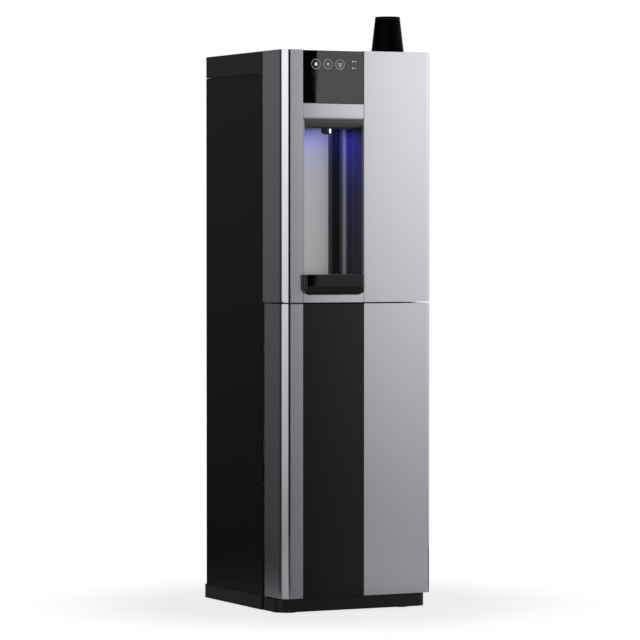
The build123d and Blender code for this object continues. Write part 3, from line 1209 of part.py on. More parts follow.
least_gap("cup_spring", CUP_SPRING_Z, CUP_SPRING_RADIUS, CUP_SPRING_TURNS, CUP_SPRING_WIRE)
least_gap("evaporator_coil", COIL_Z, COIL_RADIUS, COIL_TURNS, PIPE_RADIUS)
os.makedirs("parts", exist_ok=True)
for name, shape in nodes.items():
    export_step(shape, f"parts/{name}.step")
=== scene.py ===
import json
import math

import bmesh
import bpy
import numpy as np
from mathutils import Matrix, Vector


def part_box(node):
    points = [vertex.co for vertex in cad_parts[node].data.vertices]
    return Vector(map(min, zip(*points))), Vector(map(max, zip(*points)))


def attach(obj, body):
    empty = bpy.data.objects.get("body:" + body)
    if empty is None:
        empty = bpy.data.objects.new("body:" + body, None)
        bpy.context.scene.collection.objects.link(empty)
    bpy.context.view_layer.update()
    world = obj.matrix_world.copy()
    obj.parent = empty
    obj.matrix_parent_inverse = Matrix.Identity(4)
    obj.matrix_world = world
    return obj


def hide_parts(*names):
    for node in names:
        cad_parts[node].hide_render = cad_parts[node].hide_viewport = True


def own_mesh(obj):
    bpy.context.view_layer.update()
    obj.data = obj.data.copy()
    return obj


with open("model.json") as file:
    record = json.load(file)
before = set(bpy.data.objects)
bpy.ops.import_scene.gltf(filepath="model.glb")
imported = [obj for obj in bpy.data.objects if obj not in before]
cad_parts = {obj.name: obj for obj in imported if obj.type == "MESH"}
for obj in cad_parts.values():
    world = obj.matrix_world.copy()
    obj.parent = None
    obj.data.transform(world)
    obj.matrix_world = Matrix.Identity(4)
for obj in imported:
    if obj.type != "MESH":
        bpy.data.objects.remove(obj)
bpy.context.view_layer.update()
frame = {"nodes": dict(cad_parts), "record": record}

nodes = frame["nodes"]
MM = 0.001

LEFT_SIDE, FRONT_FACE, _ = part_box("column_left")[0]
RIGHT_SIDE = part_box("column_right")[1].x
LEFT_ROUND = 20 * MM
RIGHT_ROUND = 12 * MM
BELLY_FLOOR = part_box("dispense_head")[0].z
BAR_EDGE = BELLY_FLOOR + 21 * MM
LAMP_STRENGTH = 3.0
LINER_WALL_ZONE = 20 * MM
CUP_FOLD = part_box("top_cup")[1].z - 5 * MM
LACQUER_COAT = 0.7
SILVER_LOW = (0.41, 0.408, 0.44, 1)
SILVER_HIGH = (0.47, 0.468, 0.505, 1)


class Signal:
    """An output socket of a finish. Arithmetic on it adds Math nodes."""

    def __init__(self, finish, socket):
        self.finish = finish
        self.socket = socket

    def math(self, operation, first, second):
        return self.finish.node("ShaderNodeMath", {"operation": operation}, {0: first, 1: second})[0]

    def __add__(self, other):
        return self.math("ADD", self, other)

    def __sub__(self, other):
        return self.math("SUBTRACT", self, other)

    def __rsub__(self, other):
        return self.math("SUBTRACT", other, self)

    def __mul__(self, other):
        return self.math("MULTIPLY", self, other)

    def __truediv__(self, other):
        return self.math("DIVIDE", self, other)

    def __pow__(self, other):
        return self.math("POWER", self, other)

    __radd__ = __add__
    __rmul__ = __mul__

    def clamp(self):
        """The value held between 0 and 1."""
        return self.finish.node("ShaderNodeClamp", None, {"Value": self})[0]

    def ramp(self, start, end):
        """0 at start, 1 at end, eased between them."""
        settings = {"interpolation_type": "SMOOTHSTEP"}
        return self.finish.node("ShaderNodeMapRange", settings, {"Value": self, 1: start, 2: end})[0]


class Made:
    """A node that was added; its outputs are read by name or number."""

    def __init__(self, finish, node):
        self.finish = finish
        self.node = node

    def __getitem__(self, key):
        return Signal(self.finish, self.node.outputs[key])


class Finish:
    """A node tree under construction, of a material or of the world."""

    def __init__(self, owner, output="ShaderNodeOutputMaterial"):
        owner.use_nodes = True
        self.owner = owner
        self.tree = owner.node_tree
        self.tree.nodes.clear()
        self.output = self.node(output)
        self.object = None

    def node(self, kind, settings=None, sockets=None):
        """Add a node: its settings first, then the values or links of its sockets."""
        made = self.tree.nodes.new(kind)
        for key, value in (settings or {}).items():
            setattr(made, key, value)
        for key, value in (sockets or {}).items():
            if isinstance(value, Signal):
                self.tree.links.new(value.socket, made.inputs[key])
            else:
                made.inputs[key].default_value = value
        return Made(self, made)

    def place(self, scale=(1, 1, 1)):
        """The object's own coordinates, stretched."""
        if self.object is None:
            self.object = self.node("ShaderNodeTexCoord")["Object"]
        if tuple(scale) == (1, 1, 1):
            return self.object
        return self.node("ShaderNodeMapping", None, {"Vector": self.object, "Scale": scale})[0]

    def noise(self, scale, detail=2.0, stretch=(1, 1, 1), roughness=0.5):
        """Cloudy noise between 0 and 1, with its scale in cells per metre."""
        sockets = {"Vector": self.place(stretch), "Scale": scale, "Detail": detail, "Roughness": roughness}
        return self.node("ShaderNodeTexNoise", None, sockets)[0]

    def cells(self, scale, output="Distance"):
        """Cell pattern with its scale in cells per metre."""
        return self.node("ShaderNodeTexVoronoi", None, {"Vector": self.place(), "Scale": scale})[output]

    def axis(self, name):
        """One of the object's own coordinates, in metres."""
        return self.node("ShaderNodeSeparateXYZ", None, {0: self.place()})[name]

    def bearing(self, centre):
        """Angle about an upright axis, from the front towards the left: atan2(cx - x, cy - y)."""
        sockets = {0: centre[0] - self.axis("X"), 1: centre[1] - self.axis("Y")}
        return self.node("ShaderNodeMath", {"operation": "ARCTAN2"}, sockets)[0]

    def between(self, factor, low, high):
        """A colour between two colours."""
        sockets = {0: factor, 6: low, 7: high}
        return self.node("ShaderNodeMix", {"data_type": "RGBA"}, sockets)[2]

    def bump(self, height, depth, strength=1.0):
        """A normal bent by a height between 0 and 1, as deep as given in metres."""
        sockets = {"Strength": strength, "Distance": depth, "Height": height}
        return self.node("ShaderNodeBump", None, sockets)[0]

    def surface(self, **sockets):
        """Close the material with one shader."""
        named = {key.replace("_", " "): value for key, value in sockets.items()}
        shader = self.node("ShaderNodeBsdfPrincipled", None, named)
        self.tree.links.new(shader[0].socket, self.output.node.inputs[0])
        return self.owner


def grey(value):
    return (value, value, value, 1)


def opaque(colour, share=1.0):
    """A colour of three numbers times a share, with full alpha."""
    return tuple(share * channel for channel in colour) + (1,)


def new_finish(name):
    return Finish(bpy.data.materials.new(name))


def silver_tone(f):
    """Flake, slow drift, and the silver tone between two near tones that they give."""
    flake = f.noise(2600, 1.0)
    drift = f.noise(5.0, 2.0)
    return flake, drift, f.between((flake * 0.7 + drift * 0.3).clamp(), SILVER_LOW, SILVER_HIGH)


def silver_lacquer(f):
    """Tone, gloss and normal of satin silver lacquer."""
    flake, drift, tone = silver_tone(f)
    normal = f.bump(f.noise(420, 1.0) * 0.6 + flake * 0.4, 0.008 * MM, 0.5)
    return tone, drift * 0.03 + 0.255 + flake * 0.02, normal


def silver_paint():
    """Silver lacquer under a clear coat, polished on the round corners."""
    f = new_finish("silver_paint")
    tone, satin, normal = silver_lacquer(f)
    x, y = f.axis("X"), f.axis("Y")
    left = (LEFT_SIDE + LEFT_ROUND - x).ramp(0.0, MM) * (FRONT_FACE + LEFT_ROUND - y).ramp(0.0, MM)
    right = (x - RIGHT_SIDE + RIGHT_ROUND).ramp(0.0, MM) * (FRONT_FACE + RIGHT_ROUND - y).ramp(0.0, MM)
    return f.surface(Base_Color=tone, Metallic=1.0, Roughness=satin * (1 - (left + right) * 0.62),
                     Coat_Weight=LACQUER_COAT, Coat_Roughness=0.05, Normal=normal)


def head_paint():
    """The dispense head: silver lacquer on the bar; the belly under it is painted dark gloss and the silver
    fades into it over 7 mm, as painted shade of the underside.
    """
    f = new_finish("head_paint")
    tone, satin, normal = silver_lacquer(f)
    # silver above the bar's lower edge, painted shade of the dark belly below it
    unshaded_bar = f.axis("Z").ramp(BAR_EDGE - 1.5 * MM, BAR_EDGE + 5.5 * MM)
    return f.surface(Base_Color=f.between(unshaded_bar, (0.028, 0.028, 0.03, 1), tone), Metallic=unshaded_bar, Roughness=satin,
                     Coat_Weight=unshaded_bar * LACQUER_COAT, Coat_Roughness=0.05, Normal=normal)


def coated_black(name, low, high, gloss, shine, peel_scale, peel_depth):
    """Black coat over steel or plastic: soft mottling, orange peel and a little rubbed sheen."""
    f = new_finish(name)
    mottle = f.noise(14.0, 3.0)
    fine = f.noise(900, 2.0)
    colour = f.between((mottle * 0.7 + fine * 0.3).clamp(), grey(low), grey(high))
    peel = f.noise(peel_scale, 2.0)
    return f.surface(Base_Color=colour, Roughness=mottle * 0.06 + fine * 0.04 + gloss - 0.05,
                     Specular_IOR_Level=shine, Normal=f.bump(peel, peel_depth, 0.7))


def gloss_black(name, base, gloss, shine):
    """Polished black moulding with faint wiping marks in its gloss."""
    f = new_finish(name)
    wipes = f.noise(30.0, 4.0, (1, 1, 0.12), 0.6)
    dust = f.noise(1600, 1.0)
    colour = f.between(dust, opaque(base, 0.7), opaque(base, 1.3))
    return f.surface(Base_Color=colour, Roughness=wipes * 0.04 + gloss - 0.02, Specular_IOR_Level=shine,
                     Normal=f.bump(f.noise(60, 1.0), 0.01 * MM, 0.3))


def front_glass():
    """Flat glass that is black from behind: almost a mirror, with faint finger marks."""
    f = new_finish("front_glass")
    marks = f.noise(24.0, 3.0).ramp(0.5, 0.8)
    colour = f.between(f.noise(900, 1.0), grey(0.0002), grey(0.0005))
    return f.surface(Base_Color=colour, Roughness=marks * 0.03 + 0.02, IOR=1.5, Specular_IOR_Level=0.5)


def brushed(name, colour, gloss, stretch, lines):
    """Metal with straight brush lines; the stretch sets their direction."""
    f = new_finish(name)
    stroke = f.noise(lines, 3.0, stretch, 0.65)
    drift = f.noise(7.0, 2.0)
    tone = f.between((stroke * 0.7 + drift * 0.3).clamp(), opaque(colour, 0.88), opaque(colour))
    return f.surface(Base_Color=tone, Metallic=1.0, Roughness=stroke * 0.1 + drift * 0.05 + gloss - 0.07,
                     Normal=f.bump(stroke, 0.03 * MM, 0.5))


def chrome_plate():
    """Bright plate with a trace of water spots."""
    f = new_finish("chrome_plate")
    spots = f.noise(260, 2.0).ramp(0.55, 0.75)
    colour = f.between(spots, (0.86, 0.86, 0.87, 1), (0.74, 0.75, 0.76, 1))
    return f.surface(Base_Color=colour, Metallic=1.0, Roughness=spots * 0.08 + 0.04,
                     Normal=f.bump(f.noise(90, 1.0), 0.01 * MM, 0.3))


def zinc_plate():
    """Zinc-coated steel with its crystal flowers."""
    f = new_finish("zinc_plate")
    flower = f.node("ShaderNodeSeparateColor", None, {0: f.cells(160, output="Color")})[0]
    cloud = f.noise(20, 3.0)
    tone = f.between((flower * 0.5 + cloud * 0.5).clamp(), (0.36, 0.37, 0.38, 1), (0.56, 0.57, 0.58, 1))
    return f.surface(Base_Color=tone, Metallic=1.0, Roughness=flower * 0.14 + cloud * 0.1 + 0.3,
                     Normal=f.bump(cloud, 0.04 * MM, 0.4))


def blue_lamp():
    """Clear strip lit from behind, a little unevenly."""
    f = new_finish("blue_lamp")
    spread = f.noise(300, 2.0)
    glow = f.between(spread, (0.05, 0.06, 1.0, 1), (0.12, 0.13, 1.0, 1))
    return f.surface(Base_Color=(0.1, 0.12, 0.6, 1), Roughness=spread * 0.1 + 0.2, Emission_Color=glow,
                     Emission_Strength=LAMP_STRENGTH)


def soft_rubber():
    f = new_finish("soft_rubber")
    bloom = f.noise(60, 3.0)
    return f.surface(Base_Color=f.between(bloom, grey(0.012), grey(0.03)), Roughness=bloom * 0.15 + 0.6,
                     Normal=f.bump(f.noise(1400, 2.0), 0.04 * MM, 0.6))


def coated_paper():
    """Black coated board: fibres under a thin dull film, and a thin band of lighter grey along the fold of
    the cup's base.
    """
    f = new_finish("coated_paper")
    fibre = f.noise(700, 4.0, (1, 1, 0.35), 0.7)
    cloud = f.noise(40, 2.0)
    board = f.between((fibre * 0.6 + cloud * 0.4).clamp(), grey(0.0004), grey(0.0012))
    z = f.axis("Z")
    fold = (z - CUP_FOLD).ramp(-0.6 * MM, 0.0) * (CUP_FOLD - z).ramp(-0.6 * MM, 0.0)
    return f.surface(Base_Color=f.between(fold * 0.5, board, grey(0.08)), Roughness=fibre * 0.12 + 0.3,
                     Specular_IOR_Level=0.01, Normal=f.bump(fibre, 0.02 * MM, 0.4))


def liner_black():
    """Polished black niche liner: a duller coat on its round corners and walls, a lighter black painted on
    them as painted reflection, and a silver left rim.
    """
    f = new_finish("liner_black")
    low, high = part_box("niche_liner")
    x, y = f.axis("X"), f.axis("Y")
    wipes = f.noise(30.0, 4.0, (1, 1, 0.12), 0.6)
    rim = (FRONT_FACE + 2.3 * MM - y).ramp(0.0, 0.5 * MM) * (low.x + 6 * MM - x).ramp(0.0, 0.5 * MM)
    inner_right, inner_left = high.x - LINER_WALL_ZONE, low.x + LINER_WALL_ZONE
    wall = (inner_right - x).ramp(2 * MM, -2 * MM) + (x - inner_left).ramp(2 * MM, -2 * MM)
    # walls and round corners painted a lighter black than the back: painted reflection
    black_with_painted_wall_light = f.between(wall, (0.0012, 0.0012, 0.0025, 1), (0.015, 0.015, 0.016, 1))
    return f.surface(Base_Color=f.between(rim, black_with_painted_wall_light, silver_tone(f)[2]), Metallic=rim,
                     Roughness=wipes * 0.04 + 0.1 + rim * 0.2, Specular_IOR_Level=0.3,
                     Coat_Weight=wall * (1 - rim) * 0.62, Coat_Roughness=0.34, Coat_IOR=2.0,
                     Normal=f.bump(f.noise(60, 1.0), 0.01 * MM, 0.3))


def glint_painted_nozzle():
    """Black nozzle with chrome only in two upright strips and part of a band near its top, set where its
    highlights fall: painted highlights.
    """
    f = new_finish("glint_painted_nozzle")
    low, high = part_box("nozzle")
    bearing = f.bearing((low + high) / 2)
    # chrome strips and a part band at the bearings where highlights fall: painted highlights
    right = bearing.ramp(-0.62, -0.54) * (0.06 - bearing).ramp(0.0, 0.08)
    left = bearing.ramp(0.98, 1.02) * (1.2 - bearing).ramp(0.0, 0.04)
    top = f.axis("Z").ramp(BELLY_FLOOR - 3 * MM, BELLY_FLOOR - 2.7 * MM)
    top_glint = top * bearing.ramp(-1.1, -1.0) * (0.3 - bearing).ramp(0.0, 0.1)
    painted_glints = (right + left + top_glint).clamp()
    spots = f.noise(260, 2.0)
    return f.surface(Base_Color=f.between(painted_glints, grey(0.012), (0.84, 0.84, 0.85, 1)), Metallic=painted_glints,
                     Roughness=spots * 0.06 + 0.05, Specular_IOR_Level=0.12,
                     Normal=f.bump(spots, 0.01 * MM, 0.3))


def bead_foam():
    """White foam of swollen beads, painted darker towards each bead's edge as shade in the creases between
    them.
    """
    f = new_finish("bead_foam")
    bead = f.cells(300)
    cloud = f.noise(25, 2.0)
    # darker towards each bead's edge: painted shade in the creases between beads
    colour = f.between((bead * 1.2 + cloud * 0.2).clamp(), (0.84, 0.84, 0.82, 1), (0.66, 0.66, 0.64, 1))
    return f.surface(Base_Color=colour, Roughness=bead * 0.1 + 0.75, Normal=f.bump(1 - bead, 0.4 * MM, 0.8))


def drawn_copper():
    """Copper tube with drawing lines and a brown bloom."""
    f = new_finish("drawn_copper")
    bloom = f.noise(45, 4.0, roughness=0.6)
    line = f.noise(500, 2.0)
    colour = f.between(bloom.ramp(0.4, 0.75), (0.78, 0.42, 0.28, 1), (0.32, 0.17, 0.1, 1))
    return f.surface(Base_Color=colour, Metallic=1.0, Roughness=bloom * 0.2 + line * 0.08 + 0.18,
                     Normal=f.bump(line, 0.03 * MM, 0.4))


def bare_aluminium():
    f = new_finish("bare_aluminium")
    line = f.noise(900, 2.0, (1, 1, 0.05))
    dust = f.noise(30, 3.0)
    colour = f.between((line * 0.5 + dust * 0.5).clamp(), (0.5, 0.51, 0.52, 1), (0.7, 0.71, 0.72, 1))
    return f.surface(Base_Color=colour, Metallic=1.0, Roughness=dust * 0.15 + 0.32,
                     Normal=f.bump(line, 0.04 * MM, 0.5))


def moulded(name, low, high, gloss, grain):
    """Plain moulded plastic: slight clouding and a fine spark-eroded skin."""
    f = new_finish(name)
    cloud = f.noise(18, 3.0)
    skin = f.noise(grain, 2.0)
    colour = f.between((cloud * 0.6 + skin * 0.4).clamp(), opaque(low), opaque(high))
    return f.surface(Base_Color=colour, Roughness=cloud * 0.08 + skin * 0.05 + gloss - 0.06,
                     Normal=f.bump(skin, 0.03 * MM, 0.6))


def circuit_board():
    """Green lacquer over copper tracks, with tinned pads."""
    f = new_finish("circuit_board")
    sockets = {"Vector": f.place(), "Scale": 60.0, "Mortar Size": 0.03, "Color1": grey(0), "Color2": grey(0),
               "Mortar": grey(1)}
    track = f.node("ShaderNodeTexBrick", {"offset": 0.37, "squash": 1.6}, sockets)[1]
    pads = 1 - f.cells(220).ramp(0.12, 0.2)
    lacquer = f.between(track, (0.012, 0.11, 0.04, 1), (0.03, 0.22, 0.08, 1))
    colour = f.between(pads, lacquer, (0.6, 0.6, 0.56, 1))
    return f.surface(Base_Color=colour, Metallic=pads, Roughness=0.42 - pads * 0.12,
                     Normal=f.bump(track * 0.5 + pads, 0.06 * MM, 0.5))


def printed_mark(name, colour, glow):
    """Pale print behind the glass that is lit a little from behind."""
    f = new_finish(name)
    grain = f.noise(3000, 1.0)
    tone = f.between(grain, opaque(colour, 0.92), opaque(colour))
    return f.surface(Base_Color=tone, Roughness=grain * 0.1 + 0.35, Emission_Color=tone,
                     Emission_Strength=glow)


finishes = {
    "silver_front": silver_paint(),
    "black_sheet": coated_black("powder_black", 0.0004, 0.0012, 0.34, 0.2, 520, 0.03 * MM),
    "black_plastic": coated_black("moulded_black", 0.001, 0.003, 0.36, 0.4, 1500, 0.02 * MM),
    "gloss_black": gloss_black("gloss_black", (0.0008, 0.0008, 0.0008), 0.035, 0.21),
    "front_glass": front_glass(),
    "brushed_plate": brushed("brushed_plate", (0.62, 0.62, 0.63), 0.34, (1, 1, 0.02), 900),
    "chrome": chrome_plate(),
    "lamp": blue_lamp(),
    "bare_steel": zinc_plate(),
    "soft_black": soft_rubber(),
    "paper_black": coated_paper(),
    "foam": bead_foam(),
    "copper": drawn_copper(),
    "machine_black": gloss_black("machine_black", (0.006, 0.006, 0.006), 0.25, 0.5),
    "fins": bare_aluminium(),
    "white_plastic": moulded("white_plastic", (0.74, 0.74, 0.72), (0.8, 0.8, 0.78), 0.3, 900),
    "tube": moulded("tube_plastic", (0.52, 0.56, 0.62), (0.62, 0.66, 0.72), 0.35, 700),
    "board": circuit_board(),
    "bearing": moulded("bearing_plastic", (0.66, 0.64, 0.56), (0.74, 0.72, 0.64), 0.4, 1200),
    "ferrite": moulded("ferrite", (0.03, 0.03, 0.032), (0.07, 0.07, 0.074), 0.6, 800),
}
own_finish = {
    "dispense_head": head_paint(),
    "niche_liner": liner_black(),
    "niche_back_panel": brushed("niche_plate", (0.7, 0.7, 0.715), 0.6, (1, 1, 0.02), 900),
    "nozzle": glint_painted_nozzle(),
    "door_centre_panel": gloss_black("door_black", (0.0005, 0.0005, 0.0005), 0.28, 0.3),
}
slot_of = {entry["node"]: entry["material_slot"] for entry in frame["record"]["subparts"]}
for name, part in nodes.items():
    part.data.materials.clear()
    part.data.materials.append(own_finish.get(name, finishes[slot_of[name]]))


def grid_faces(rows, columns, wrap_rows, wrap_columns):
    """Quads between neighbouring points of a grid, as an array of point numbers."""
    row = np.arange(rows if wrap_rows else rows - 1)
    column = np.arange(columns if wrap_columns else columns - 1)
    row, column = np.meshgrid(row, column, indexing="ij")
    next_row = (row + 1) % rows
    next_column = (column + 1) % columns
    corners = [row * columns + column, next_row * columns + column, next_row * columns + next_column,
               row * columns + next_column]
    return np.stack(corners, -1).reshape(-1, 4)


def piece(name, grids, finish, body):
    """One mesh from several grids of points; poles and seams are merged and the faces turned outwards."""
    points = []
    faces = []
    start = 0
    for grid, wrap_rows, wrap_columns in grids:
        rows, columns, _ = grid.shape
        points.append(grid.reshape(-1, 3))
        faces.append(grid_faces(rows, columns, wrap_rows, wrap_columns) + start)
        start += rows * columns
    mesh = bpy.data.meshes.new(name)
    mesh.from_pydata(np.concatenate(points).tolist(), [], np.concatenate(faces).tolist())
    shell = bmesh.new()
    shell.from_mesh(mesh)
    bmesh.ops.remove_doubles(shell, verts=shell.verts, dist=1e-6)
    bmesh.ops.dissolve_degenerate(shell, edges=shell.edges, dist=1e-7)
    bmesh.ops.recalc_face_normals(shell, faces=shell.faces)
    shell.to_mesh(mesh)
    shell.free()
    mesh.polygons.foreach_set("use_smooth", np.ones(len(mesh.polygons), bool))
    mesh.set_sharp_from_angle(angle=math.radians(35))
    mesh.materials.append(finish)
    made = bpy.data.objects.new(name, mesh)
    bpy.context.scene.collection.objects.link(made)
    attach(made, body)
    return made


def lathe(profile, steps, centre, wobble=None):
    """A profile of radius and height turned about an upright axis: x = r cos a, y = r sin a, z = h."""
    angle = np.linspace(0, 2 * np.pi, steps, endpoint=False)
    radius, height = np.asarray(profile, float).T
    swell = np.zeros(steps) if wobble is None else wobble(angle)
    radius = radius[None, :] + swell[:, None] * (radius > 0)[None, :]
    height = np.broadcast_to(height, radius.shape)
    grid = np.stack([radius * np.cos(angle)[:, None], radius * np.sin(angle)[:, None], height], -1)
    return grid + np.asarray(centre, float), True, False


def arc(centre, radius, start, end, count):
    """Points of radius and height on an arc, between two angles in degrees."""
    angle = np.radians(np.linspace(start, end, count))
    return [(centre[0] + radius * math.cos(a), centre[1] + radius * math.sin(a)) for a in angle]


# Marks on the control glass
glass_low, glass_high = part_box("control_glass")
GLASS_FACE = glass_low.y
PRINT = 0.06 * MM


def stroke(path, width):
    """A printed line: a flat oval section carried along a path in x and z, drawn in at both ends."""
    path = np.asarray(path, float)
    run = np.concatenate([[0], np.cumsum(np.hypot(*np.diff(path, axis=0).T))])
    along = np.gradient(path, axis=0)
    along /= np.linalg.norm(along, axis=1, keepdims=True)
    from_end = np.clip(np.minimum(run, run[-1] - run) / (width / 2), 0, 1)
    half = width / 2 * np.sqrt(1 - (1 - from_end) ** 2)
    turn = np.linspace(0, 2 * np.pi, 12, endpoint=False)
    aside = half[:, None] * np.cos(turn)
    out = PRINT * (half / (width / 2))[:, None] * np.sin(turn)
    x = path[:, :1] - along[:, 1:] * aside
    z = path[:, 1:] + along[:, :1] * aside
    return np.stack([x, GLASS_FACE - out, z], -1), False, True


def ring_print(x, z, radius, width):
    """A printed ring: the flat oval section w/2 cos t, p sin t carried round a circle."""
    angle = np.linspace(0, 2 * np.pi, 96, endpoint=False)[:, None]
    turn = np.linspace(0, 2 * np.pi, 12, endpoint=False)[None, :]
    reach = radius + width / 2 * np.cos(turn)
    out = np.broadcast_to(PRINT * np.sin(turn), (96, 12))
    return np.stack([x + reach * np.cos(angle), GLASS_FACE - out, z + reach * np.sin(angle)], -1), True, True


def lens(x, z, radius, shape=None):
    """A printed spot: a flat bead, r s(a) cos b from its middle and p sin b proud, s being its outline."""
    angle = np.linspace(0, 2 * np.pi, 48, endpoint=False)[:, None]
    rise = np.linspace(-np.pi / 2, np.pi / 2, 13)[None, :]
    reach = radius * (1.0 if shape is None else shape(angle)) * np.cos(rise)
    out = np.broadcast_to(PRINT * np.sin(rise), (48, 13))
    return np.stack([x + reach * np.cos(angle), GLASS_FACE - out, z + reach * np.sin(angle)], -1), True, False


def drop(angle):
    """Outline of a water drop, round below and pointed above: 0.88 + 0.3 max(0, sin a)^9."""
    upward = np.maximum(0, np.sin(angle))
    return 0.88 + 0.3 * upward ** 9


RING_HEIGHT = glass_high.z - 30.1 * MM
RING_X = [glass_low.x + offset * MM for offset in (31.0, 60.5, 90.0)]
RING_RADIUS = 10.6 * MM


def line(x, z, length, tilt, width):
    """A short straight mark about its middle, tilted by degrees."""
    reach = np.linspace(-length / 2, length / 2, 17)
    slope = math.radians(tilt)
    return stroke(np.stack([x + reach * math.cos(slope), z + reach * math.sin(slope)], -1), width)


def wave(x, z, length, height, width):
    """A wavy mark: z follows a sine along x."""
    reach = np.linspace(-length / 2, length / 2, 33)
    return stroke(np.stack([x + reach, z + height * np.sin(reach / length * 4 * np.pi)], -1), width)


rings = [ring_print(x, RING_HEIGHT, RING_RADIUS, 0.85 * MM) for x in RING_X]
crystal = [line(RING_X[1], RING_HEIGHT, 10.5 * MM, tilt, 0.9 * MM) for tilt in (30, 90, 150)]
CRYSTAL_TIP = 3.4 * MM
for tilt in range(30, 390, 60):
    x = RING_X[1] + CRYSTAL_TIP * math.cos(math.radians(tilt))
    z = RING_HEIGHT + CRYSTAL_TIP * math.sin(math.radians(tilt))
    crystal.append(line(x, z, 2.8 * MM, tilt + 90, 0.7 * MM))
BUBBLES = ((-3.4, 1.3, 1.7), (0.2, 2.9, 1.2), (3.5, 1.6, 1.6), (-1.3, -1.9, 1.5), (2.4, -2.4, 1.7))
bubbles = [lens(RING_X[2] + dx * MM, RING_HEIGHT + dz * MM, size * MM) for dx, dz, size in BUBBLES]
bubbles.append(wave(RING_X[2], RING_HEIGHT - 5.4 * MM, 8 * MM, 0.7 * MM, 0.8 * MM))
piece("touch_rings", rings + crystal + bubbles, printed_mark("ring_print", (0.4, 0.4, 0.4), 0.16), "cabinet")

lamp_x = [glass_high.x - offset * MM for offset in (27.0, 20.4)]
lamp_z = [glass_high.z - offset * MM for offset in (22.9, 37.4)]
spots = [lens(RING_X[0], RING_HEIGHT - 0.4 * MM, 3.9 * MM, drop)]
spots += [lens(lamp_x[0], z, 1.6 * MM) for z in lamp_z]
spots.append(lens(lamp_x[1], lamp_z[0], 1.3 * MM, lambda angle: 1 + 0.35 * np.cos(3 * angle)))
spots.append(line(lamp_x[1] - 0.3 * MM, lamp_z[1], 3.4 * MM, 90, 1.0 * MM))
piece("touch_spots", spots, printed_mark("spot_print", (0.6, 0.6, 0.6), 0.36), "cabinet")

# Dark strips in the upright seams beside the dispense head and the apron, which show the gaps dark as painted
# shade, and soft seals behind the door
SEAM_WIDTH = 1.7 * MM
SEAM_DEPTH = 3.0 * MM
SEAM_END = 0.5 * MM
SEAL_WIDTH = 9.0 * MM
SEAL_INSET = 16.5 * MM
SEAL_END = 8.0 * MM
SEAL_CLEAR = 0.3 * MM


def upright_strip(x, low, high, width, back, shoulder, crown):
    """A soft strip: flat sides from back to shoulder, then a half-round to the crown, carried straight up.

    The section is x = w/2 cos t, y = shoulder + (crown - shoulder) sin t, and both ends are closed.
    """
    turn = np.linspace(0, np.pi, 9)
    across = np.concatenate([width / 2 * np.cos(turn), [-width / 2, width / 2]])
    depth = np.concatenate([shoulder + (crown - shoulder) * np.sin(turn), [back, back]])
    middle = (back + crown) / 2
    height = np.array([low, low, high, high])[:, None]
    spread = np.array([0.0, 1.0, 1.0, 0.0])[:, None]
    shape = (4, len(across))
    return np.stack([np.broadcast_to(x + spread * across, shape),
                     np.broadcast_to(middle + spread * (depth - middle), shape),
                     np.broadcast_to(height, shape)], -1), False, True


seam_section = (SEAM_WIDTH, FRONT_FACE + SEAM_DEPTH, FRONT_FACE + 0.35 * MM, FRONT_FACE + 0.15 * MM)
shade_strips = []
for beside in ("dispense_head", "apron"):
    low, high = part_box(beside)
    bottom = BAR_EDGE if beside == "dispense_head" else low.z
    for x in ((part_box("column_left")[1].x + low.x) / 2, (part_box("column_right")[0].x + high.x) / 2):
        shade_strips.append(upright_strip(x, bottom + SEAM_END, high.z - SEAM_END, *seam_section))
# dark strips filling the seams: painted shade of the gaps
piece("seam_shade_strips", shade_strips, finishes["soft_black"], "cabinet")

door_low, door_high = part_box("door_core")
catch_low, catch_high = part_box("door_strike")
post_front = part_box("frame_posts")[0].y
seal_section = (SEAL_WIDTH, door_high.y - 0.2 * MM, door_high.y + 6 * MM, post_front - SEAL_CLEAR)
seal_low, seal_high = door_low.z + SEAL_END, door_high.z - SEAL_END
seal_runs = [(RIGHT_SIDE - SEAL_INSET, seal_low, seal_high),
             (LEFT_SIDE + SEAL_INSET, seal_low, catch_low.z - SEAL_END / 2),
             (LEFT_SIDE + SEAL_INSET, catch_high.z + SEAL_END / 2, seal_high)]
seals = [upright_strip(*run, *seal_section) for run in seal_runs]
piece("door_seals", seals, finishes["soft_black"], "door")

# Cup with its rolled rim, crimped base and lapped side seam
cup_low, cup_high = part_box("top_cup")
CUP_X = (cup_low.x + cup_high.x) / 2
CUP_Y = (cup_low.y + cup_high.y) / 2
RIM = (cup_high.x - cup_low.x) / 2
CUP_HEIGHT = cup_high.z - cup_low.z
BEAD = 1.5 * MM
WALL = 0.6 * MM
BASE = 27.5 * MM
FOOT = RIM - BEAD
SEAM_BEARING = 4.0
SEAM_LAP = 0.22 * MM
taper = (FOOT - BASE) / (CUP_HEIGHT - 2 * BEAD)
inner_top = CUP_HEIGHT - 6 * MM
inner_radius = FOOT - taper * (inner_top - 2 * BEAD) - WALL
rise = np.linspace(2 * BEAD, CUP_HEIGHT - 0.5 * MM, 24)
outer_wall = [(FOOT - taper * (height - 2 * BEAD), height) for height in rise]
lip = arc((BASE - 0.45 * MM, CUP_HEIGHT - 0.5 * MM), 0.5 * MM, 20, 160, 7)
bead = arc((RIM - BEAD, BEAD), BEAD, -90, 80, 11)
inside = [(0, inner_top), (inner_radius, inner_top), (RIM - 2.1 * BEAD, 0.4 * BEAD)]
cup_base = [(inner_radius - WALL, inner_top + WALL), (0, inner_top + WALL)]
cup_profile = inside + bead + outer_wall + lip + cup_base


def side_seam(angle):
    """A lapped edge that drops by h(1 + tanh 200d) e^-9d, d being the angle past the lap."""
    away = (angle - SEAM_BEARING + np.pi) % (2 * np.pi) - np.pi
    return -SEAM_LAP / 2 * (1 + np.tanh(away * 200)) * np.exp(-np.clip(away, 0, None) * 9)


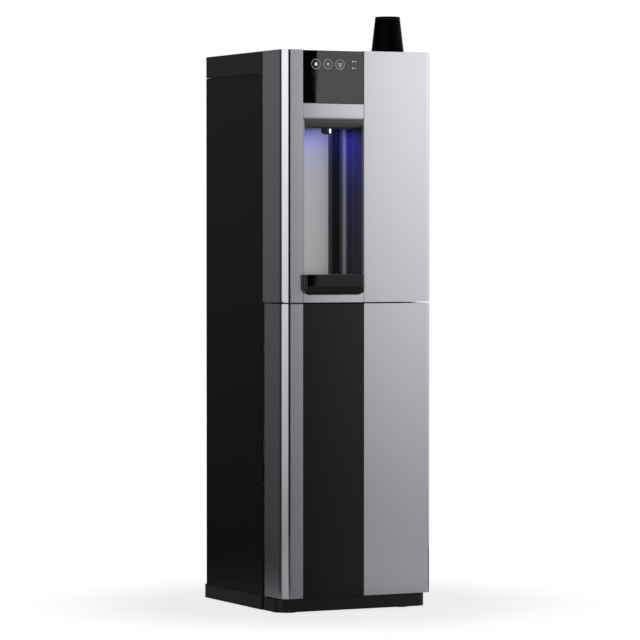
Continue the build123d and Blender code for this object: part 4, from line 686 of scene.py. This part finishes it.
cup_grid = lathe(cup_profile, 160, (CUP_X, CUP_Y, cup_low.z), side_seam)
cup = piece("cup_top", [cup_grid], finishes["paper_black"], "loose_cup")
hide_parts("top_cup")

# Cup spring, drawn at one length; the real one shortens as the lift goes down
spring_low, spring_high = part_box("cup_spring")
SPRING_WIRE = 1.2 * MM
SPRING_TURNS = 14


def spring_coil(x, y, radius, low, high):
    """A round wire carried along the helix x = R cos a, y = R sin a, z = rise a, closed at both ends."""
    angle = np.linspace(0, 2 * np.pi * SPRING_TURNS, 36 * SPRING_TURNS + 1)[:, None]
    rise = (high - low) / (2 * np.pi * SPRING_TURNS)
    turn = np.linspace(0, 2 * np.pi, 10, endpoint=False)[None, :]
    wire = np.full(len(angle), SPRING_WIRE)[:, None]
    wire[0] = wire[-1] = 0
    reach = radius + wire * np.cos(turn)
    lift = wire * np.sin(turn)
    slope = rise / math.hypot(radius, rise)
    return np.stack([x + reach * np.cos(angle) + lift * slope * np.sin(angle),
                     y + reach * np.sin(angle) - lift * slope * np.cos(angle),
                     low + rise * angle + lift * math.sqrt(1 - slope ** 2)], -1), False, True


spring_middle = (spring_low + spring_high) / 2
spring_grid = spring_coil(spring_middle.x, spring_middle.y, (spring_high.x - spring_low.x) / 2 - SPRING_WIRE,
                          spring_low.z + SPRING_WIRE, spring_high.z - SPRING_WIRE)
spring_slot = slot_of["cup_spring"]
spring = piece("lift_spring", [spring_grid], finishes[spring_slot], "cabinet")
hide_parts("cup_spring")
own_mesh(spring)

# Aerator in the nozzle's tip
nozzle_low, nozzle_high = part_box("nozzle")
NOZZLE_X = (nozzle_low.x + nozzle_high.x) / 2
NOZZLE_Y = (nozzle_low.y + nozzle_high.y) / 2
aerator = [(5.2, 0.4), (5.4, -0.55), (6.0, -0.8), (7.6, -0.8), (8.2, -0.55), (8.4, 0.4), (5.2, 0.4)]
piece("nozzle_aerator", [lathe(np.array(aerator) * MM, 72, (NOZZLE_X, NOZZLE_Y, nozzle_low.z))],
      finishes["gloss_black"], "cabinet")

# Rear screws with crossed slots, and pressed hoods over the vents
PANEL_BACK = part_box("rear_panel")[1].y


def screw_head(x, z, radius, height):
    """A domed head: height h(1 - (r/R)^2)^0.4, less a crossed slot that fades towards the rim."""
    angle = np.linspace(0, 2 * np.pi, 64, endpoint=False)[:, None]
    reach = np.linspace(0, 1, 17)[None, :]
    dome = height * (1 - reach ** 2) ** 0.4
    from_slot = np.minimum(np.abs(np.cos(angle)), np.abs(np.sin(angle))) * reach * radius
    slot = np.exp(-(from_slot / (0.42 * MM)) ** 4) * (reach < 0.62)
    out = dome - slot * 1.0 * MM
    out = np.maximum(out, 0.05 * MM * (reach < 1))
    across = radius * reach * np.cos(angle)
    up = radius * reach * np.sin(angle)
    return np.stack([x + across, PANEL_BACK + out, z + up], -1), True, False


def screw_shank(x, z, radius, length):
    """A plain round shank behind the head, closed at its point."""
    angle = np.linspace(0, 2 * np.pi, 24, endpoint=False)[:, None]
    reach = np.array([[0.0, 0.6, 1.0, 1.0, 2.3]]) * radius
    depth = np.array([[-length, -length, -length + radius, 0.0, 0.0]])
    return np.stack([x + reach * np.cos(angle), np.broadcast_to(PANEL_BACK + depth, (24, 5)),
                     z + reach * np.sin(angle)], -1), True, False


screw_low, screw_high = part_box("rear_panel_screws")
SCREW_RADIUS = 4.0 * MM
screw_x = (screw_low.x + SCREW_RADIUS, screw_high.x - SCREW_RADIUS)
screw_z = np.linspace(screw_low.z + SCREW_RADIUS, screw_high.z - SCREW_RADIUS, 5)
heads = [screw_head(x, z, SCREW_RADIUS, 2.2 * MM) for x in screw_x for z in screw_z]
heads += [screw_shank(x, z, 1.7 * MM, 9.0 * MM) for x in screw_x for z in screw_z]
screws = piece("panel_screws", heads, finishes["bare_steel"], "cabinet")
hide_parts("rear_panel_screws")


def vent_hood(x, z, width, height, proud):
    """A thin pressed half-hood over a slot, open below: p sqrt(1 - v^2) sin(pi u)^0.3 proud."""
    u = np.linspace(0, 1, 41)[:, None]
    v = np.linspace(0, 1, 9)[None, :]
    swell = np.sin(np.pi * np.clip(u, 1e-9, 1 - 1e-9)) ** 0.3
    out = proud * np.sqrt(1 - v ** 2) * swell
    across = np.broadcast_to(x + (u - 0.5) * width, (41, 9))
    up = np.broadcast_to(z + (v - 0.35) * height, (41, 9))
    skin = np.stack([across, PANEL_BACK + out, up], -1)
    inside = np.stack([across, PANEL_BACK + np.maximum(out - 0.6 * MM, 0.0), up], -1)
    return np.concatenate([skin, inside[:, ::-1]], 1), False, True


shroud_low, shroud_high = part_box("fan_shroud")
vent_middle = (shroud_low + shroud_high) / 2
HOOD_ROWS = 12
HOOD_PITCH = 14 * MM
hood_z = vent_middle.z + (np.arange(HOOD_ROWS) - (HOOD_ROWS - 1) / 2) * HOOD_PITCH
hoods = [vent_hood(vent_middle.x, z, 140 * MM, 8 * MM, 2.6 * MM) for z in hood_z]
piece("vent_hoods", hoods, finishes["black_sheet"], "cabinet")


# Studio: floor, soft boxes and flags, and the camera
STAGE_CENTRE = (-0.103, GLASS_FACE)
STAGE_RADIUS = 1.7
STAGE_TOP = 2.3
CARD_RISE = 1.25
KEY_START, KEY_EDGE = -85, -26.3
SIDE_START, SIDE_END = 6, 91
KEY_LEAN = 0.9
KEY_LEVEL = 1.255


def stage_mesh(name, grid, finish):
    """A stage surface from one grid of points."""
    rows, columns, _ = grid.shape
    mesh = bpy.data.meshes.new(name)
    mesh.from_pydata(grid.reshape(-1, 3).tolist(), [], grid_faces(rows, columns, False, False).tolist())
    mesh.materials.append(finish)
    made = bpy.data.objects.new(name, mesh)
    bpy.context.scene.collection.objects.link(made)
    return made


def floor_finish():
    """Pale floor that takes the soft shadow and runs out to white; its tone is painted light in front of the
    soft boxes and painted shade elsewhere away from the object.
    """
    f = new_finish("floor")
    x, y = f.axis("X"), f.axis("Y")
    away = (x * x + y * y) ** 0.5
    path = f.node("ShaderNodeLightPath")
    mirrored = (path["Is Glossy Ray"] + path["Is Transmission Ray"]).clamp() * away.ramp(1.6, 3.0)
    white_share = path["Is Camera Ray"] * (0.8 + away.ramp(0.3, 0.7) * 0.2) + mirrored
    # floor tone by bearing: painted light in front of the soft boxes, painted shade in the flag sectors
    around = f.bearing(STAGE_CENTRE)
    key_edge = math.radians(KEY_EDGE + KEY_LEAN * KEY_LEVEL)
    key = (key_edge - around).ramp(0.0, 0.01) * (around - math.radians(KEY_START)).ramp(0.0, 0.1)
    side = (around - math.radians(SIDE_START)).ramp(0.0, 0.01)
    side = side * (math.radians(SIDE_END) - around).ramp(0.0, 0.02)
    # the floor painted darker away from the object: painted shade
    painted_shade_tone = f.between(away.ramp(0.45, 0.75), grey(0.36), grey(0.1))
    tone = f.between((key + side) * away.ramp(0.4, 0.6), painted_shade_tone, grey(0.72))
    base = f.node("ShaderNodeBsdfDiffuse", None, {0: tone})
    white = f.node("ShaderNodeEmission", None, {0: grey(1.0), 1: 1.0})
    mixed = f.node("ShaderNodeMixShader", None, {0: white_share.clamp(), 1: base[0], 2: white[0]})
    f.tree.links.new(mixed[0].socket, f.output.node.inputs[0])
    return f.owner


def card_finish(name, low, high):
    """A card whose light grows evenly from the floor to the top of the object."""
    f = new_finish(name)
    rise = (f.axis("Z") / CARD_RISE).clamp()
    strength = rise * (high - low) + low
    glow = f.node("ShaderNodeEmission", None, {0: grey(1.0), 1: strength})
    f.tree.links.new(glow[0].socket, f.output.node.inputs[0])
    return f.owner


def card(name, start, end, low, high, lean=(0.0, 0.0)):
    """A curved card round the object between two bearings, in degrees from the front towards the left.

    Each end leans by so many degrees for each metre below the level of the glass.
    """
    height = np.linspace(0.01, STAGE_TOP, 9)[None, :]
    across = np.linspace(0, 1, 33)[:, None]
    below = KEY_LEVEL - height
    bearing = np.radians((start + lean[0] * below) * (1 - across) + (end + lean[1] * below) * across)
    x = STAGE_CENTRE[0] - STAGE_RADIUS * np.sin(bearing)
    y = STAGE_CENTRE[1] - STAGE_RADIUS * np.cos(bearing)
    grid = np.stack([x, y, np.broadcast_to(height, (33, 9))], -1)
    made = stage_mesh(name, grid, card_finish(name, low, high))
    made.visible_camera = False
    made.visible_shadow = False
    return made


card("soft_box_right", KEY_START, KEY_EDGE, 0.52, 1.84, (0.0, KEY_LEAN))
card("flag_front", KEY_EDGE, SIDE_START, 0.01, 0.02, (KEY_LEAN, 0.0))
card("soft_box_left", SIDE_START, SIDE_END, 0.5, 1.9)
card("flag_left", SIDE_END, 118, 0.03, 0.06)
card("side_fill", 118, 180, 0.065, 0.18)
card("rear_fill", 180, 275, 0.6, 1.2)

floor_reach = np.concatenate([[0.0], np.geomspace(0.05, 60, 40)])[:, None]
floor_angle = np.linspace(0, 2 * np.pi, 65)[None, :]
floor_x, floor_y = floor_reach * np.cos(floor_angle), floor_reach * np.sin(floor_angle)
floor_grid = np.stack([floor_x, floor_y, np.zeros_like(floor_x)], -1)
stage_mesh("floor", floor_grid, floor_finish())

world = bpy.data.worlds.new("studio")
bpy.context.scene.world = world
sky = Finish(world, "ShaderNodeOutputWorld")
path = sky.node("ShaderNodeLightPath")
shown = (path["Is Camera Ray"] + path["Is Glossy Ray"] + path["Is Transmission Ray"]).clamp()
backdrop = sky.node("ShaderNodeBackground", None, {0: grey(1.0), 1: shown * 0.7 + 0.3})
sky.tree.links.new(backdrop[0].socket, sky.output.node.inputs[0])


def area_lamp(name, place, aim, size, watts, colour=(1, 1, 1)):
    """A flat lamp at a place, turned to face another."""
    lamp = bpy.data.lights.new(name, "AREA")
    lamp.shape = "RECTANGLE"
    lamp.size, lamp.size_y = size
    lamp.energy = watts
    lamp.color = colour
    made = bpy.data.objects.new(name, lamp)
    made.location = place
    made.rotation_euler = (Vector(aim) - Vector(place)).to_track_quat("-Z", "Y").to_euler()
    bpy.context.scene.collection.objects.link(made)
    return made


area_lamp("overhead", (-0.3, -0.4, 3.0), (0, 0, 0.6), (1.6, 1.6), 12)
lens_low, lens_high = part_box("lamp_lens")
lens_middle = (lens_low + lens_high) / 2
lens_middle.z = lens_low.z - 2 * MM
lens_size = (lens_high.x - lens_low.x, lens_high.y - lens_low.y)
front_middle = Vector((lens_middle.x, FRONT_FACE + 6 * MM, lens_middle.z))
for lit, place, aim, watts, mirrored in (("niche_liner", lens_middle, (0, 0, -1), 1.9, False),
                                         ("niche_back_panel", front_middle, (0, 1, -0.7), 0.04, True)):
    glow = area_lamp(lit + "_glow", place, place + Vector(aim), lens_size, watts, (0.05, 0.05, 1.0))
    glow.visible_glossy = mirrored
    glow.visible_camera = False
    glow.light_linking.receiver_collection = bpy.data.collections.new(lit + "_lit")
    glow.light_linking.receiver_collection.objects.link(nodes[lit])

SENSOR = 36.0
FOCAL_PIXELS = 3498.4
PICTURE = 640
camera_data = bpy.data.cameras.new("camera")
camera_data.sensor_width = SENSOR
camera_data.lens = FOCAL_PIXELS / PICTURE * SENSOR
camera_data.clip_end = 200.0
camera = bpy.data.objects.new("camera", camera_data)
camera.location = (-3.5124, -7.111, 0.8303)
camera.rotation_euler = (math.radians(90 - 1.34), 0.0, math.radians(-26.31))
bpy.context.scene.collection.objects.link(camera)
bpy.context.scene.camera = camera
bpy.context.scene.view_settings.view_transform = "Standard"
